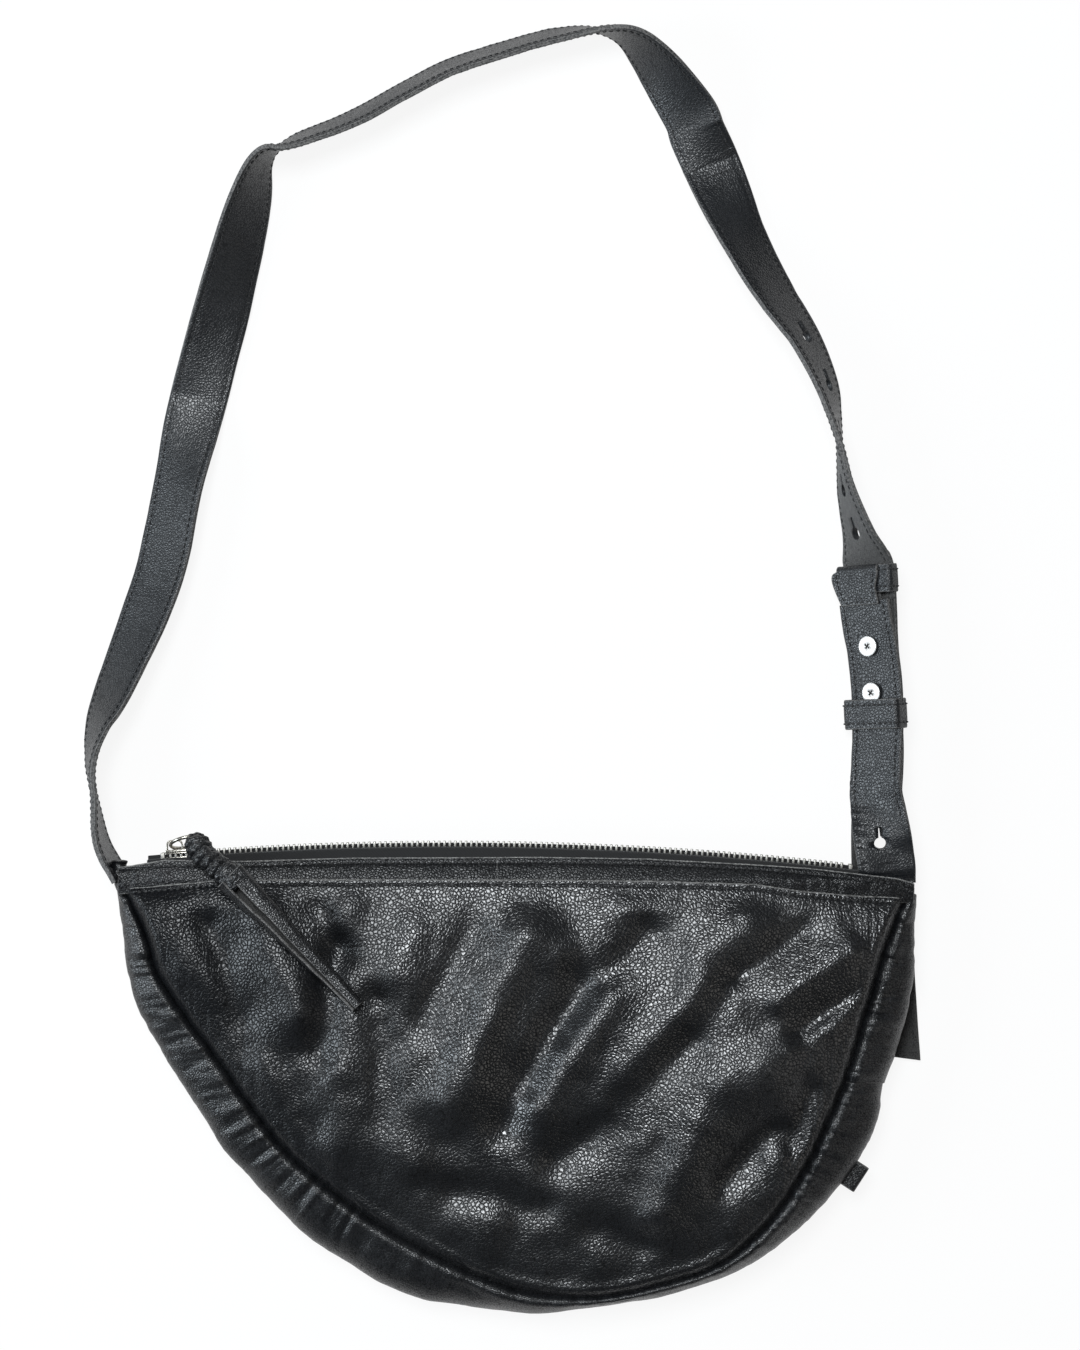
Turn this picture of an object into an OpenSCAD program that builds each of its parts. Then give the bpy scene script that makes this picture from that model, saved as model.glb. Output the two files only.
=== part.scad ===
// Half moon bag of soft leather, lying on its back with the strap looped above it.
// X runs along the mouth, Y from the bottom towards the strap, Z out of the front panel.
// The origin lies under the middle of the flat back panel.

/* [Bag] */
// Width between the corners where the strap is sewn in
bag_w = 408; // [350:2:480]
// Height from the corners down to the lowest edge
bag_h = 216; // [185:1:260]
// Height of the front seam above the floor, along the bottom and the sides
seam_z = 34; // [26:1:42]
// How far the middle of the front panel stands above its seam
crown_h = 11; // [4:1:20]
// Height of the soft ridges that stuffing left in the front panel
ridge_h = 6; // [0:0.5:7]
// Height of the gusset's widest line above the floor
widest_z = 18; // [12:1:22]
// Thickness of the bag leather
leather_t = 1.6; // [1.2:0.1:2]
// Thickness of the lining cloth
lining_t = 0.5; // [0.4:0.1:0.8]
// Space between the leather and the lining
lining_gap = 1.2; // [0.8:0.1:2]

/* [Mouth] */
// Height of the front panel's top seam above the floor
mouth_z = 33; // [28:1:38]
// Height of the zip chain above the floor
chain_z = 20; // [17:0.5:23]
// Thickness of the band leather
band_t = 1.4; // [1:0.1:1.6]
// Radius of the folded edge that each lip turns on
bead_r = 1; // [0.8:0.1:1.2]
// Running gap round that folded edge
bead_gap = 0.4; // [0.3:0.1:0.8]
// Share of the way from the front seam to the chain that the leather band covers
band_share = 0.6; // [0.45:0.01:0.7]

/* [Zip] */
// Radius of the long arc that the zip chain lies on
zip_arc_r = 1780; // [1400:10:2600]
// Distance from the left corner to the chain's end
zip_left_room = 24; // [21:1:29]
// Distance from the strap's sewn end to the chain's end at the right
zip_right_room = 6; // [5.5:0.5:30]
// Length of chain between its left end and the opening lips
lip_left_room = 51; // [47:1:65]
// Length of chain between the opening lips and its right end
lip_right_room = 55; // [51:1:75]
// Distance from tooth to tooth in one row
tooth_pitch = 2.7; // [2.4:0.1:3.2]
// Width of one tooth along the chain
tooth_w = 1.05; // [0.8:0.05:1.1]
// Thickness of the teeth through the chain
tooth_t = 2.2; // [1.8:0.1:2.6]
// How far a tooth reaches past the chain's middle
tooth_reach = 0.9; // [0.6:0.1:1.2]
// How far a tooth's back lies from the chain's middle
tooth_back = 2.5; // [2.2:0.1:3]
// Thickness of the woven tape
tape_t = 0.6; // [0.4:0.1:0.8]
// Length of the slider along the chain
slider_l = 11; // [9:0.5:13]
// Width of the slider across the chain
slider_w = 9.6; // [9:0.2:11]
// Thickness of the slider's plates
slider_t = 1.3; // [1:0.1:1.6]
// Running gap between slider and chain
slider_gap = 0.35; // [0.3:0.05:0.5]
// Height of the bridge over the slider
bridge_h = 5; // [4.6:0.1:5.6]
// Length of the bridge along the chain
bridge_l = 8.4; // [7.6:0.2:9]
// Width of the bridge across the chain
bridge_w = 2.4; // [1.6:0.1:2.6]
// Wire diameter of the pull ring
ring_wire = 1.8; // [1.2:0.1:1.9]
// Radius of the pull ring at its wire's middle
ring_r = 8.2; // [7:0.2:9]

/* [Pull] */
// Length of the leather pull below its gathered top
pull_l = 82; // [60:1:110]
// Width of the folded pull at its top
pull_w = 17; // [12:0.5:22]
// Width of the folded pull at its tip
pull_tip_w = 5; // [4:0.5:10]
// Thickness of the pull leather
pull_t = 1.8; // [1.2:0.1:2.4]
// Diameter of the gathered part of the pull
gather_d = 10; // [8:0.5:14]

/* [Strap] */
// Reach of the strap loop above the corners
loop_h = 443; // [380:1:520]
// Width of the strap
strap_w = 29; // [24:0.5:34]
// Thickness of one layer of the strap
strap_layer = 1.5; // [1.1:0.1:1.9]
// Round hole of a keyhole
keyhole_d = 6.5; // [5:0.1:8]
// Width of a keyhole's slit
slit_w = 2; // [1.2:0.1:2.6]
// Length of a keyhole's slit
slit_l = 5; // [3:0.5:7]
// Lift of the buckled stretch above the floor, room for the keepers
run_lift = 3.6; // [3.6:0.1:5]
// Tilt of the buckled stretch, outer edge up
run_tilt = 38; // [30:1:45]

/* [Buckle] */
// Diameter of a stud's flat disc
stud_d = 10; // [8:0.2:12]
// Thickness of a stud's disc
stud_t = 1.1; // [0.8:0.1:1.3]
// Diameter of a stud's post
post_d = 4; // [3:0.1:4.6]
// Diameter of a stud's knob on the hidden side
knob_d = 5.8; // [5.4:0.1:6.2]
// Height of a stud's knob on the hidden side
knob_h = 4; // [3:0.1:4.5]
// Width of the cross recess in a disc
recess_w = 1.1; // [0.8:0.1:1.6]
// Length of the cross recess in a disc
recess_l = 4; // [3:0.1:5]
// Thickness of the keepers' leather
keeper_t = 1.6; // [1.2:0.1:1.8]
// Width of the sliding keeper along the strap
keeper_w = 14; // [10:0.5:18]
// Width of the fixed keeper along the strap
fixed_keeper_w = 13; // [8:0.5:14]
// Length of the folded loop at the anchor strap's end
fold_l = 20; // [16:0.5:24]
// Gap between leather pieces that lie on each other
ply_gap = 0.3; // [0.25:0.05:0.4]

/* [Side tab] */
// Width of the small folded tab on the gusset
tab_w = 14; // [10:0.5:18]
// Length of the tab outside the gusset
tab_l = 7; // [5:0.5:10]
// Thickness of the folded tab
tab_t = 2.4; // [1.6:0.1:3]

/* [Hidden] */

leather = "#26272a";
suede = "#3a3836";
cloth = "#2c2c30";
metal = "#b9b9b4";
tape = "#1c1c1f";

// Outlines below are read off the photograph in its own pixels and turned into sizes by place()
view_mid_px = [540, 675];
bag_mid_px = 516;
bag_span_px = 801;
corner_px = 888;
body_span_px = 423;
loop_span_px = 868;
back_mid_px = 202;
// Height of the eye above the floor: what is raised looks a little further from the view's middle
view_d = 1500;
over = 1;

// Seam between front panel and gusset, from the left corner round to the right one
front_seam_px = [[125, 894], [143, 930], [156, 972], [180, 1011], [210, 1051], [243, 1098], [280, 1146],
                 [325, 1187], [380, 1226], [448, 1263], [520, 1291], [590, 1298], [655, 1287], [722, 1264],
                 [775, 1217], [806, 1170], [828, 1125], [846, 1083], [860, 1038], [874, 992], [889, 942], [905, 900]];
// Widest line of the gusset, paired with the seam above
widest_px = [[116, 890], [122, 925], [130, 975], [146, 1018], [170, 1062], [204, 1115], [245, 1172],
             [296, 1225], [360, 1268], [435, 1299], [515, 1311], [595, 1307], [665, 1293], [735, 1270],
             [795, 1229], [838, 1182], [868, 1135], [884, 1083], [898, 1040], [908, 992], [911, 945], [914, 895]];
// Seam between back panel and gusset, paired in the same way and hidden under the bag
back_seam_px = [[150, 892], [153, 925], [163, 970], [180, 1010], [205, 1052], [238, 1100], [278, 1150],
                [325, 1195], [385, 1234], [455, 1262], [520, 1274], [590, 1270], [650, 1256], [705, 1232],
                [752, 1196], [785, 1155], [808, 1115], [820, 1078], [826, 1038], [829, 992], [829, 945], [828, 893]];
// Top seam of the front panel: level in the middle, dropping towards the corners
mouth_seam_px = [[110, 891], [212, 881], [280, 880], [650, 880], [754, 884], [808, 891], [861, 896], [920, 899]];
// Centreline of the long strap, each point with its roll and its lift above the floor
strap_px = [[108, 868, -100, 0], [102, 848, -98, 0], [96, 811, -93, 0], [90, 762, -88, 0], [95, 725, -76, 0],
            [109, 690, -68, 0], [143, 616, -55, 0], [162, 560, -43, 0], [179, 480, -30, 0], [199, 400, 0, 0],
            [229, 281, 30, 0], [249, 200, 55, 0], [261, 158, 82, 0], [290, 142, 103, 0], [350, 117, 106, 0],
            [400, 90, 106, 0], [450, 65, 106, 0], [510, 43, 106, 0], [560, 31, 104, 0], [604, 30, 92, 0],
            [640, 50, 64, 0], [686, 110, 28, 0], [697, 136, 16, 0], [709, 162, 2, 0], [741, 232, -40, 0],
            [776, 293, -58, 0], [809, 338, -66, 0], [831, 386, -76, 0], [841, 437, -90, 0], [845, 490, -100, 0],
            [858, 535, -112, 0.2], [865, 556, run_tilt - 176, 0.8], [866.6, 572, run_tilt - 180, 1],
            [868, 612, run_tilt - 180, 1], [869.2, 646, run_tilt - 180, 1], [870.8, 692.5, run_tilt - 180, 1],
            [872.4, 740, run_tilt - 180, 1], [873.5, 770, run_tilt - 180, 1], [874.5, 800, run_tilt - 180, 1],
            [879, 842, -167, 0.4], [882, 885, -180, 0], [886, 960, -180, 0], [892, 1056, -180, 0]];
seam_step = 23;
seam_half_step = 0.02;
keyhole_steps = [26, 27, 28, 29, 30, 34, 35, 36.1, 37.7, 39];
run_step = 33;
last_run_step = 38;
stud_steps = [34, 35];
keeper_px = 713.5;
// Sewn end of the anchor strap where it leaves the buckled stretch: place, roll and rise as a share
anchor_end_px = [[879.5, 828, 20, 0.5], [884, 853, 0, 1]];
anchor_keyhole_px = [880, 841];
side_tab_px = [847.5, 1170.5];
// Soft ridges and hollows of the front panel: two ends and the half width of each
ridge_px = [[[530, 925], [432, 1108], 27], [[592, 950], [486, 1140], 23], [[652, 985], [548, 1178], 26],
            [[706, 1050], [596, 1205], 20], [[812, 1045], [682, 1192], 33], [[800, 1120], [768, 1212], 17],
            [[312, 930], [272, 1034], 24], [[236, 905], [226, 1015], 21], [[352, 935], [352, 1025], 15],
            [[500, 1222], [470, 1262], 24], [[792, 925], [742, 958], 30], [[868, 925], [764, 998], 15]];
ridge_share = [0.83, -0.7, 0.77, -0.7, 1, -0.7, 0.9, -0.67, -0.53, 0.6, 0.67, -0.57];
hollow_share = 0.95;
side_tab_turn = -33;
chain_top_px = [450, 844.3];

function mix(a, b, share) = a + (b - a) * share;
function unit(v) = v / norm(v);
function shrink(z) = 1 - z / view_d;
function place_x(px, z) =
    (view_mid_px.x + (px - view_mid_px.x) * shrink(z) - bag_mid_px) * bag_w / bag_span_px;
function place_row(py) = py > corner_px
    ? (back_mid_px - (py - corner_px)) * bag_h / body_span_px
    : back_mid_px * bag_h / body_span_px + (corner_px - py) * loop_h / loop_span_px;
function place_y(py, z) = place_row(view_mid_px.y + (py - view_mid_px.y) * shrink(z));
function place(p, z) = [place_x(p.x, z), place_y(p.y, z), z];

// Point at a fractional step of a row of points, on a smooth curve through all of them
function near(rows, i) = rows[max(0, min(len(rows) - 1, i))];
function curve(rows, at) =
    let (i = min(floor(at), len(rows) - 2), f = at - i)
    let (a = near(rows, i - 1), b = near(rows, i), c = near(rows, i + 1), d = near(rows, i + 2))
    (2 * b + (c - a) * f + (2 * a - 5 * b + 4 * c - d) * f * f + (3 * b - a - 3 * c + d) * f * f * f) / 2;

// Normal of a grid of points at one of them
function grid_normal(g, i, j) =
    let (n = len(g) - 1, m = len(g[0]) - 1)
    unit(cross(g[min(i + 1, n)][j] - g[max(i - 1, 0)][j], g[i][min(j + 1, m)] - g[i][max(j - 1, 0)]));
function grid_shift(g, by) = [for (i = [0:len(g) - 1])
    [for (j = [0:len(g[0]) - 1]) g[i][j] + grid_normal(g, i, j) * by]];
function grid_list(g) = [for (row = g) each row];

// A sheet between two grids of points of the same shape
module sheet(upper, lower) {
    n = len(upper);
    m = len(upper[0]);
    k = n * m;
    points = concat(grid_list(upper), grid_list(lower));
    top = [for (i = [0:n - 2], j = [0:m - 2]) each [[i * m + j, (i + 1) * m + j + 1, (i + 1) * m + j],
                                                     [i * m + j, i * m + j + 1, (i + 1) * m + j + 1]]];
    bottom = [for (f = top) [f[0] + k, f[2] + k, f[1] + k]];
    first = [for (j = [0:m - 2]) each [[j, k + j, k + j + 1], [j, k + j + 1, j + 1]]];
    last = [for (j = [0:m - 2]) let (a = (n - 1) * m + j) each [[a, k + a + 1, k + a], [a, a + 1, k + a + 1]]];
    left = [for (i = [0:n - 2]) let (a = i * m, b = a + m) each [[a, k + b, k + a], [a, b, k + b]]];
    right = [for (i = [0:n - 2]) let (a = i * m + m - 1, b = a + m) each [[a, k + a, k + b], [a, k + b, b]]];
    polyhedron(points, concat(top, bottom, first, last, left, right));
}
module skin(g, t) {
    sheet(grid_shift(g, t / 2), grid_shift(g, -t / 2));
}

// Bag body: how far along the rim from a corner (0) to the middle (1), and the heights that follow it
last_step = len(front_seam_px) - 1;
panel_set_back = 1.2;
floor_gap = 0.2;
rim_power_share = 0.5;
corner_share = 0.3;
droop_power = 4;
function rim_share(s) = pow(sin(180 * s / last_step), rim_power_share);
function corner_front_z() = mix(chain_z, mouth_z, corner_share);
function corner_back_z() = chain_z / 2;
function front_seam_z(s) = mix(corner_front_z(), seam_z, rim_share(s));
function widest_line_z(s) = mix(corner_front_z() - 2 * band_t, widest_z, rim_share(s));
function rim_point(rows, s, z) = place(curve(rows, s), z);
function rim_inset(rows, s, z, by) =
    let (t = rim_point(rows, s + rim_probe, z) - rim_point(rows, s - rim_probe, z))
    rim_point(rows, s, z) + by * unit([-t.y, t.x, 0]);
rim_probe = 0.05;

// Mouth line: where the panels end and the bands begin
mouth_px = 880;
seam_y = place_y(mouth_px, mouth_z);
edge_y = seam_y - bead_r - bead_gap;
back_hinge_z = bead_r + floor_gap;
function near_corner(x) = pow(min(1, abs(x) / (bag_w / 2)), droop_power);
function mouth_line_y(x, z) = place_y(lookup(bag_mid_px + x * bag_span_px / bag_w, mouth_seam_px), z);
function mouth_front_z(x) = mix(mouth_z, corner_front_z(), near_corner(x));
function mouth_back_z(x) = mix(back_hinge_z, corner_back_z(), near_corner(x));

// Front panel as a grid: columns run from the rim up to the mouth line
panel_columns = 84;
panel_rows = 18;
lining_columns = 20;
lining_rows = 6;
ridge_fade_power = 0.6;
function front_grid(inset, columns, rows) = [for (i = [0:columns])
    let (s = i * last_step / columns, f = rim_inset(front_seam_px, s, front_seam_z(s), inset))
    let (top_y = min(edge_y, mouth_line_y(f.x, mouth_z) - bead_gap), top_z = mouth_front_z(f.x))
    [for (j = [0:rows])
        let (v = j / rows, swell = 4 * v * (1 - v) * rim_share(s))
        [f.x, mix(min(f.y, top_y - leather_t), top_y, v), mix(f.z, top_z, v) + crown_h * swell, swell]]];

// Ridges fade out towards the seam and the mouth line, as the crown does
ridges = [for (r = ridge_px) [place(r[0], seam_z), place(r[1], seam_z), r[2] * bag_w / bag_span_px]];
function level(p) = [p.x, p.y];
function line_gap(p, a, b) =
    let (d = b - a, share = max(0, min(1, (p - a) * d / (d * d))))
    norm(p - a - share * d);
function ridge_rise(p, k) =
    ridge_share[k] * exp(-pow(line_gap(p, level(ridges[k][0]), level(ridges[k][1])) / ridges[k][2], 2));
function relief(p) =
    let (rises = [for (k = [0:len(ridges) - 1]) ridge_rise(level(p), k)])
    ridge_h * (rises * [for (r = rises) 1]) * pow(p[3], ridge_fade_power);
function raised(g) = [for (row = g) [for (p = row) [p.x, p.y, p.z + relief(p)]]];
function under_hollows(g, by) = [for (row = g) [for (p = row)
    [p.x, p.y, p.z - by - hollow_share * ridge_h * pow(p[3], ridge_fade_power)]]];

// Gusset: profile from the front seam over the widest line down to the back seam, as shares of each half
front_profile_share = [[0, 0], [0.45, 0.1], [0.8, 0.38], [1, 1]];
back_profile_share = [[0.96, 0.7], [0.75, 0.45], [0.45, 0.26], [0.04, 0]];
gusset_joint_step = 17.1;
gusset_columns = 34;
gusset_end_columns = 8;
gusset_lining_columns = 36;
function gusset_row(s, inward) =
    let (f = rim_inset(front_seam_px, s, front_seam_z(s) - leather_t / 2, inward))
    let (w = rim_inset(widest_px, s, widest_line_z(s), inward))
    let (b = rim_inset(back_seam_px, s, leather_t / 2 + floor_gap, inward))
    concat([for (p = front_profile_share) [mix(f.x, w.x, p.x), mix(f.y, w.y, p.x), mix(f.z, w.z, p.y)]],
           [for (p = back_profile_share) [mix(b.x, w.x, p.x), mix(b.y, w.y, p.x), mix(b.z, w.z, p.y)]]);
function gusset_grid(from, to, count, inward) = [for (i = [0:count])
    gusset_row(mix(from, to, i / count), inward)];

// Flat outline of the back panel inside its seam, closed along the mouth line
back_points = 40;
function back_outline(inset) = concat(
    [for (i = [0:back_points])
        let (p = rim_inset(back_seam_px, i * last_step / back_points, 0, inset))
        [p.x, min(p.y, edge_y - bead_r)]],
    [for (x = [zip_top.x + lip_right, zip_top.x - lip_left]) [x, edge_y - inset + panel_set_back]]);

// Height of the strap's sewn ends, just under the front band
root_z = corner_front_z() - band_t / 2 - ply_gap - strap_layer;

// Zip: an arc round a far centre, its top at zip_top
zip_top = [place_x(chain_top_px.x, chain_z), place_y(chain_top_px.y, chain_z)];
zip_left = bag_w / 2 + zip_top.x - zip_left_room;
zip_right = place_x(anchor_end_px[1].x, root_z) - strap_w / 2 - zip_right_room - zip_top.x;
lip_left = zip_left - lip_left_room;
lip_right = zip_right - lip_right_room;
tape_stand = slider_w / 2 + 2 * tape_t;
lip_gap = 0.5;
function arc_y(x) = zip_top.y - zip_arc_r + sqrt(pow(zip_arc_r, 2) - pow(x - zip_top.x, 2));
function front_point(x, v, low_y, low_z) = [x, mix(low_y, arc_y(x), v), mix(low_z, chain_z + tape_stand, v)];
function back_point(x, v, low_y, low_z) = [x, mix(low_y, arc_y(x), v), mix(low_z, chain_z - tape_stand, v)];
lip_steps = 14;
end_steps = 6;
function span(a, b, count) = [for (i = [0:count]) mix(a, b, i / count)];
lip_xs = span(zip_top.x - lip_left, zip_top.x + lip_right, lip_steps);
corner_inset = 7;
left_end_xs = span(-bag_w / 2 + corner_inset, zip_top.x - lip_left - lip_gap, end_steps);
right_end_xs = span(zip_top.x + lip_right + lip_gap, bag_w / 2 - corner_inset, end_steps);
chain_left_xs = span(zip_top.x - zip_left - tooth_pitch, zip_top.x - lip_left - lip_gap, end_steps);
chain_right_xs = span(zip_top.x + lip_right + lip_gap, zip_top.x + zip_right + tooth_pitch, end_steps);
tape_margin_share = 0.03;
tape_from_share = band_share + tape_margin_share;

function front_band_grid(xs) = [for (x = xs) [for (v = [0, band_share]) front_point(x, v, seam_y, mouth_z)]];
function back_band_grid(xs) = [for (x = xs) [for (v = [0, band_share]) back_point(x, v, seam_y, back_hinge_z)]];
function front_end_grid(xs) = [for (x = xs)
    let (y = min(seam_y, mouth_line_y(x, mouth_z) + bead_gap), z = mouth_front_z(x))
    [for (v = [0, band_share]) front_point(x, v, y, z)]];
function back_end_grid(xs) = [for (x = xs)
    let (y = min(seam_y, mouth_line_y(x, mouth_z) + bead_gap), z = mouth_back_z(x))
    [for (v = [0, band_share]) back_point(x, v, y, z)]];
function front_tape_grid(xs) = [for (x = xs)
    [front_point(x, tape_from_share, seam_y, mouth_z), front_point(x, 1, seam_y, mouth_z),
     [x, arc_y(x), chain_z + tooth_back + tape_t / 2]]];
function back_tape_grid(xs) = [for (x = xs)
    [back_point(x, tape_from_share, seam_y, back_hinge_z), back_point(x, 1, seam_y, back_hinge_z),
     [x, arc_y(x), chain_z - tooth_back - tape_t / 2]]];

module on_zip(arc) {
    translate([zip_top.x, zip_top.y - zip_arc_r, chain_z])
        rotate([0, 0, zip_turn(arc)])
            translate([0, zip_arc_r, 0]) children();
}
module tooth_row(from, to, side) {
    shift = side > 0 ? 0 : tooth_pitch / 2;
    first = ceil((from - shift) / tooth_pitch);
    final = floor((to - shift) / tooth_pitch);
    for (i = [first:final])
        on_zip(i * tooth_pitch + shift)
            translate([-tooth_w / 2, -tooth_t / 2, side > 0 ? -tooth_reach : -tooth_back])
                cube([tooth_w, tooth_t, tooth_back + tooth_reach]);
}

module front_panel() {
    color(leather) skin(raised(front_grid(panel_set_back, panel_columns, panel_rows)), leather_t);
}
module back_panel() {
    color(leather) linear_extrude(leather_t) polygon(back_outline(panel_set_back));
}
module gusset() {
    color(leather) skin(gusset_grid(0, gusset_joint_step, gusset_columns, 0), leather_t);
}
module gusset_end() {
    from = gusset_joint_step + rim_probe;
    color(leather) skin(gusset_grid(from, last_step, gusset_end_columns, 0), leather_t);
}

lining_drop = (leather_t + lining_t) / 2 + lining_gap;
sewn_drop = (leather_t + lining_t) / 2 + ply_gap;
lining_end_steps = 2;
module front_lining() {
    grid = front_grid(3 * lining_drop, lining_columns, lining_rows);
    color(cloth) skin(under_hollows(grid, sewn_drop), lining_t);
}
module back_lining() {
    color(cloth)
        translate([0, 0, leather_t + ply_gap]) linear_extrude(lining_t) polygon(back_outline(3 * lining_drop));
}
module gusset_lining() {
    grid = gusset_grid(lining_end_steps, last_step - lining_end_steps, gusset_lining_columns, 0);
    color(cloth) skin(grid_shift(grid, lining_drop), lining_t);
}

module front_band_left() {
    color(leather) skin(front_end_grid(left_end_xs), band_t);
}
module front_band_right() {
    color(leather) skin(front_end_grid(right_end_xs), band_t);
}
module back_band_left() {
    color(leather) skin(back_end_grid(left_end_xs), band_t);
}
module back_band_right() {
    color(leather) skin(back_end_grid(right_end_xs), band_t);
}
module front_tape_ends() {
    color(tape) {
        skin(front_tape_grid(chain_left_xs), tape_t);
        skin(front_tape_grid(chain_right_xs), tape_t);
    }
}
module back_tape_ends() {
    color(tape) {
        skin(back_tape_grid(chain_left_xs), tape_t);
        skin(back_tape_grid(chain_right_xs), tape_t);
    }
}
module teeth_ends(side) {
    color(metal) {
        tooth_row(-zip_left + 2 * tooth_pitch, -lip_left - tooth_w, side);
        tooth_row(lip_right + tooth_w, zip_right, side);
    }
}
module front_teeth_ends() {
    teeth_ends(1);
}
module back_teeth_ends() {
    teeth_ends(-1);
}
stop_arc = -zip_left + tooth_pitch;
module zip_stops() {
    color(metal) {
        for (side = [-1, 1])
            on_zip(stop_arc)
                translate([-tooth_w, -tooth_t / 2, side > 0 ? tooth_reach : -tooth_back])
                    cube([tooth_w, tooth_t, tooth_back - tooth_reach]);
        on_zip(zip_right + tooth_pitch)
            translate([-tooth_w / 2, -tooth_t / 2, -tooth_back]) cube([2 * tooth_w, tooth_t, 2 * tooth_back]);
    }
}

module lip_bead(y, z) {
    translate([zip_top.x - lip_left, y, z])
        rotate([0, 90, 0]) cylinder(h = lip_left + lip_right, r = bead_r, $fn = 32);
}
module front_band() {
    color(leather) {
        skin(front_band_grid(lip_xs), band_t);
        lip_bead(seam_y, mouth_z);
    }
}
module back_band() {
    color(leather) {
        skin(back_band_grid(lip_xs), band_t);
        lip_bead(seam_y, back_hinge_z);
    }
}
module front_tape() {
    color(tape) skin(front_tape_grid(lip_xs), tape_t);
}
module back_tape() {
    color(tape) skin(back_tape_grid(lip_xs), tape_t);
}
module front_teeth() {
    color(metal) tooth_row(-lip_left + tooth_w, lip_right - tooth_w, 1);
}
module back_teeth() {
    color(metal) tooth_row(-lip_left + tooth_w, lip_right - tooth_w, -1);
}

// Slider: two plates with flanges that hook round the chain and leave a slit for each tape
slider_arc = stop_arc + tooth_w + slider_l / 2 + slider_gap;
plate_y = tooth_t / 2 + slider_gap;
flange_w = 0.7;
module slider_plate(side) {
    on_zip(slider_arc) mirror([0, side > 0 ? 0 : 1, 0]) {
        translate([-slider_l / 2, plate_y, -slider_w / 2]) cube([slider_l, slider_t, slider_w]);
        for (edge = [-slider_w / 2, slider_w / 2 - flange_w])
            translate([-slider_l / 2, tape_t / 2 + slider_gap, edge])
                cube([slider_l, plate_y - tape_t / 2 - slider_gap, flange_w]);
    }
}
module slider_top() {
    color(metal) slider_plate(1);
}
module slider_underplate() {
    color(metal) slider_plate(-1);
}
bridge_wall = 1;
bridge_r = 2.4;
bridge_y = plate_y + slider_t;
bridge_x = -slider_l / 2 + slider_gap;
module slider_bridge() {
    color(metal) on_zip(slider_arc) translate([bridge_x, bridge_y, -bridge_w / 2])
        linear_extrude(bridge_w) difference() {
            rounded_rect(0, -bridge_r, bridge_l, bridge_h, bridge_r);
            rounded_rect(bridge_wall, -bridge_r, bridge_l - bridge_wall, bridge_h - bridge_wall, bridge_r - bridge_wall);
            translate([-over, -bridge_h]) square([bridge_l + 2 * over, bridge_h]);
        }
}

// The ring goes through the bridge and leans away from the chain, rolled a little towards the front
ring_lean = 24;
ring_roll = 20;
bail_y = bridge_y + (bridge_h - bridge_wall) / 2;
bail_x = bridge_x + bridge_wall + ring_wire / 2 + slider_gap;
module on_ring() {
    on_zip(slider_arc) translate([bail_x, bail_y, 0]) rotate([0, 0, ring_lean]) rotate([90 - ring_roll, 0, 0])
        translate([ring_r, 0, 0]) children();
}
module pull_ring() {
    color(metal) on_ring() rotate_extrude($fn = 48) translate([ring_r, 0]) circle(d = ring_wire, $fn = 20);
}

// Pull: a sleeve of leather round the ring, a gathered neck and a strip folded lengthwise
pull_neck_px = [242, 886];
pull_tip_px = [357, 1005];
pull_neck_z = mouth_z + gather_d + 2 * pull_t;
pull_tip_z = seam_z + crown_h + ridge_h / 3 + 2 * pull_t;
neck_share = [[0, 0.5, 0], [0.2, 0.6, 0.6], [0.4, 0.75, 0.95], [0.6, 0.9, 0.95], [0.8, 1, 0.6], [1, 0.5, 0]];
neck_bow = 5;
sleeve_hole_r = ring_wire / 2 + slider_gap;
sleeve_l = 5;
tube_sides = 10;
function zip_turn(arc) = -arc / zip_arc_r * 180 / PI;
function zip_point(arc, p) =
    let (a = zip_turn(arc), r = zip_arc_r + p.y)
    [zip_top.x + p.x * cos(a) - r * sin(a), zip_top.y - zip_arc_r + p.x * sin(a) + r * cos(a), chain_z + p.z];
ring_side = zip_point(slider_arc, [bail_x + 2 * ring_r * cos(ring_lean), bail_y + 2 * ring_r * sin(ring_lean), 0]);
function tube_ring(p, along, r) =
    let (side = unit(cross(along, [0, 0, 1])), up = cross(side, along))
    [for (k = [0:tube_sides - 1]) p + r * (cos(360 * k / tube_sides) * side + sin(360 * k / tube_sides) * up)];
module round_tube(points, along, radii) {
    n = len(points);
    rings = [for (i = [0:n - 1]) tube_ring(points[i], along, radii[i])];
    body = [for (i = [0:n - 2], k = [0:tube_sides - 1])
        let (a = i * tube_sides + k, b = i * tube_sides + (k + 1) % tube_sides, c = a + tube_sides, d = b + tube_sides)
        each [[a, d, c], [a, b, d]]];
    start = [[for (k = [tube_sides - 1:-1:0]) k]];
    end = [[for (k = [0:tube_sides - 1]) (n - 1) * tube_sides + k]];
    polyhedron(grid_list(rings), concat(body, start, end));
}
module pull_gather() {
    b = place(pull_neck_px, pull_neck_z);
    d = unit(b - ring_side);
    a = ring_side + sleeve_hole_r * d;
    color(leather) difference() {
        union() {
            round_tube([for (p = neck_share) mix(a, b, p.x) + [0, 0, neck_bow * p.z]], d,
                       [for (p = neck_share) p.y * gather_d / 2]);
            on_ring() translate([ring_r, sleeve_l / 2, 0]) rotate([90, 0, 0])
                cylinder(h = sleeve_l, r = sleeve_hole_r + pull_t, $fn = 32);
        }
        on_ring() rotate_extrude($fn = 48) translate([ring_r, 0]) circle(r = sleeve_hole_r, $fn = 20);
    }
}
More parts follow.
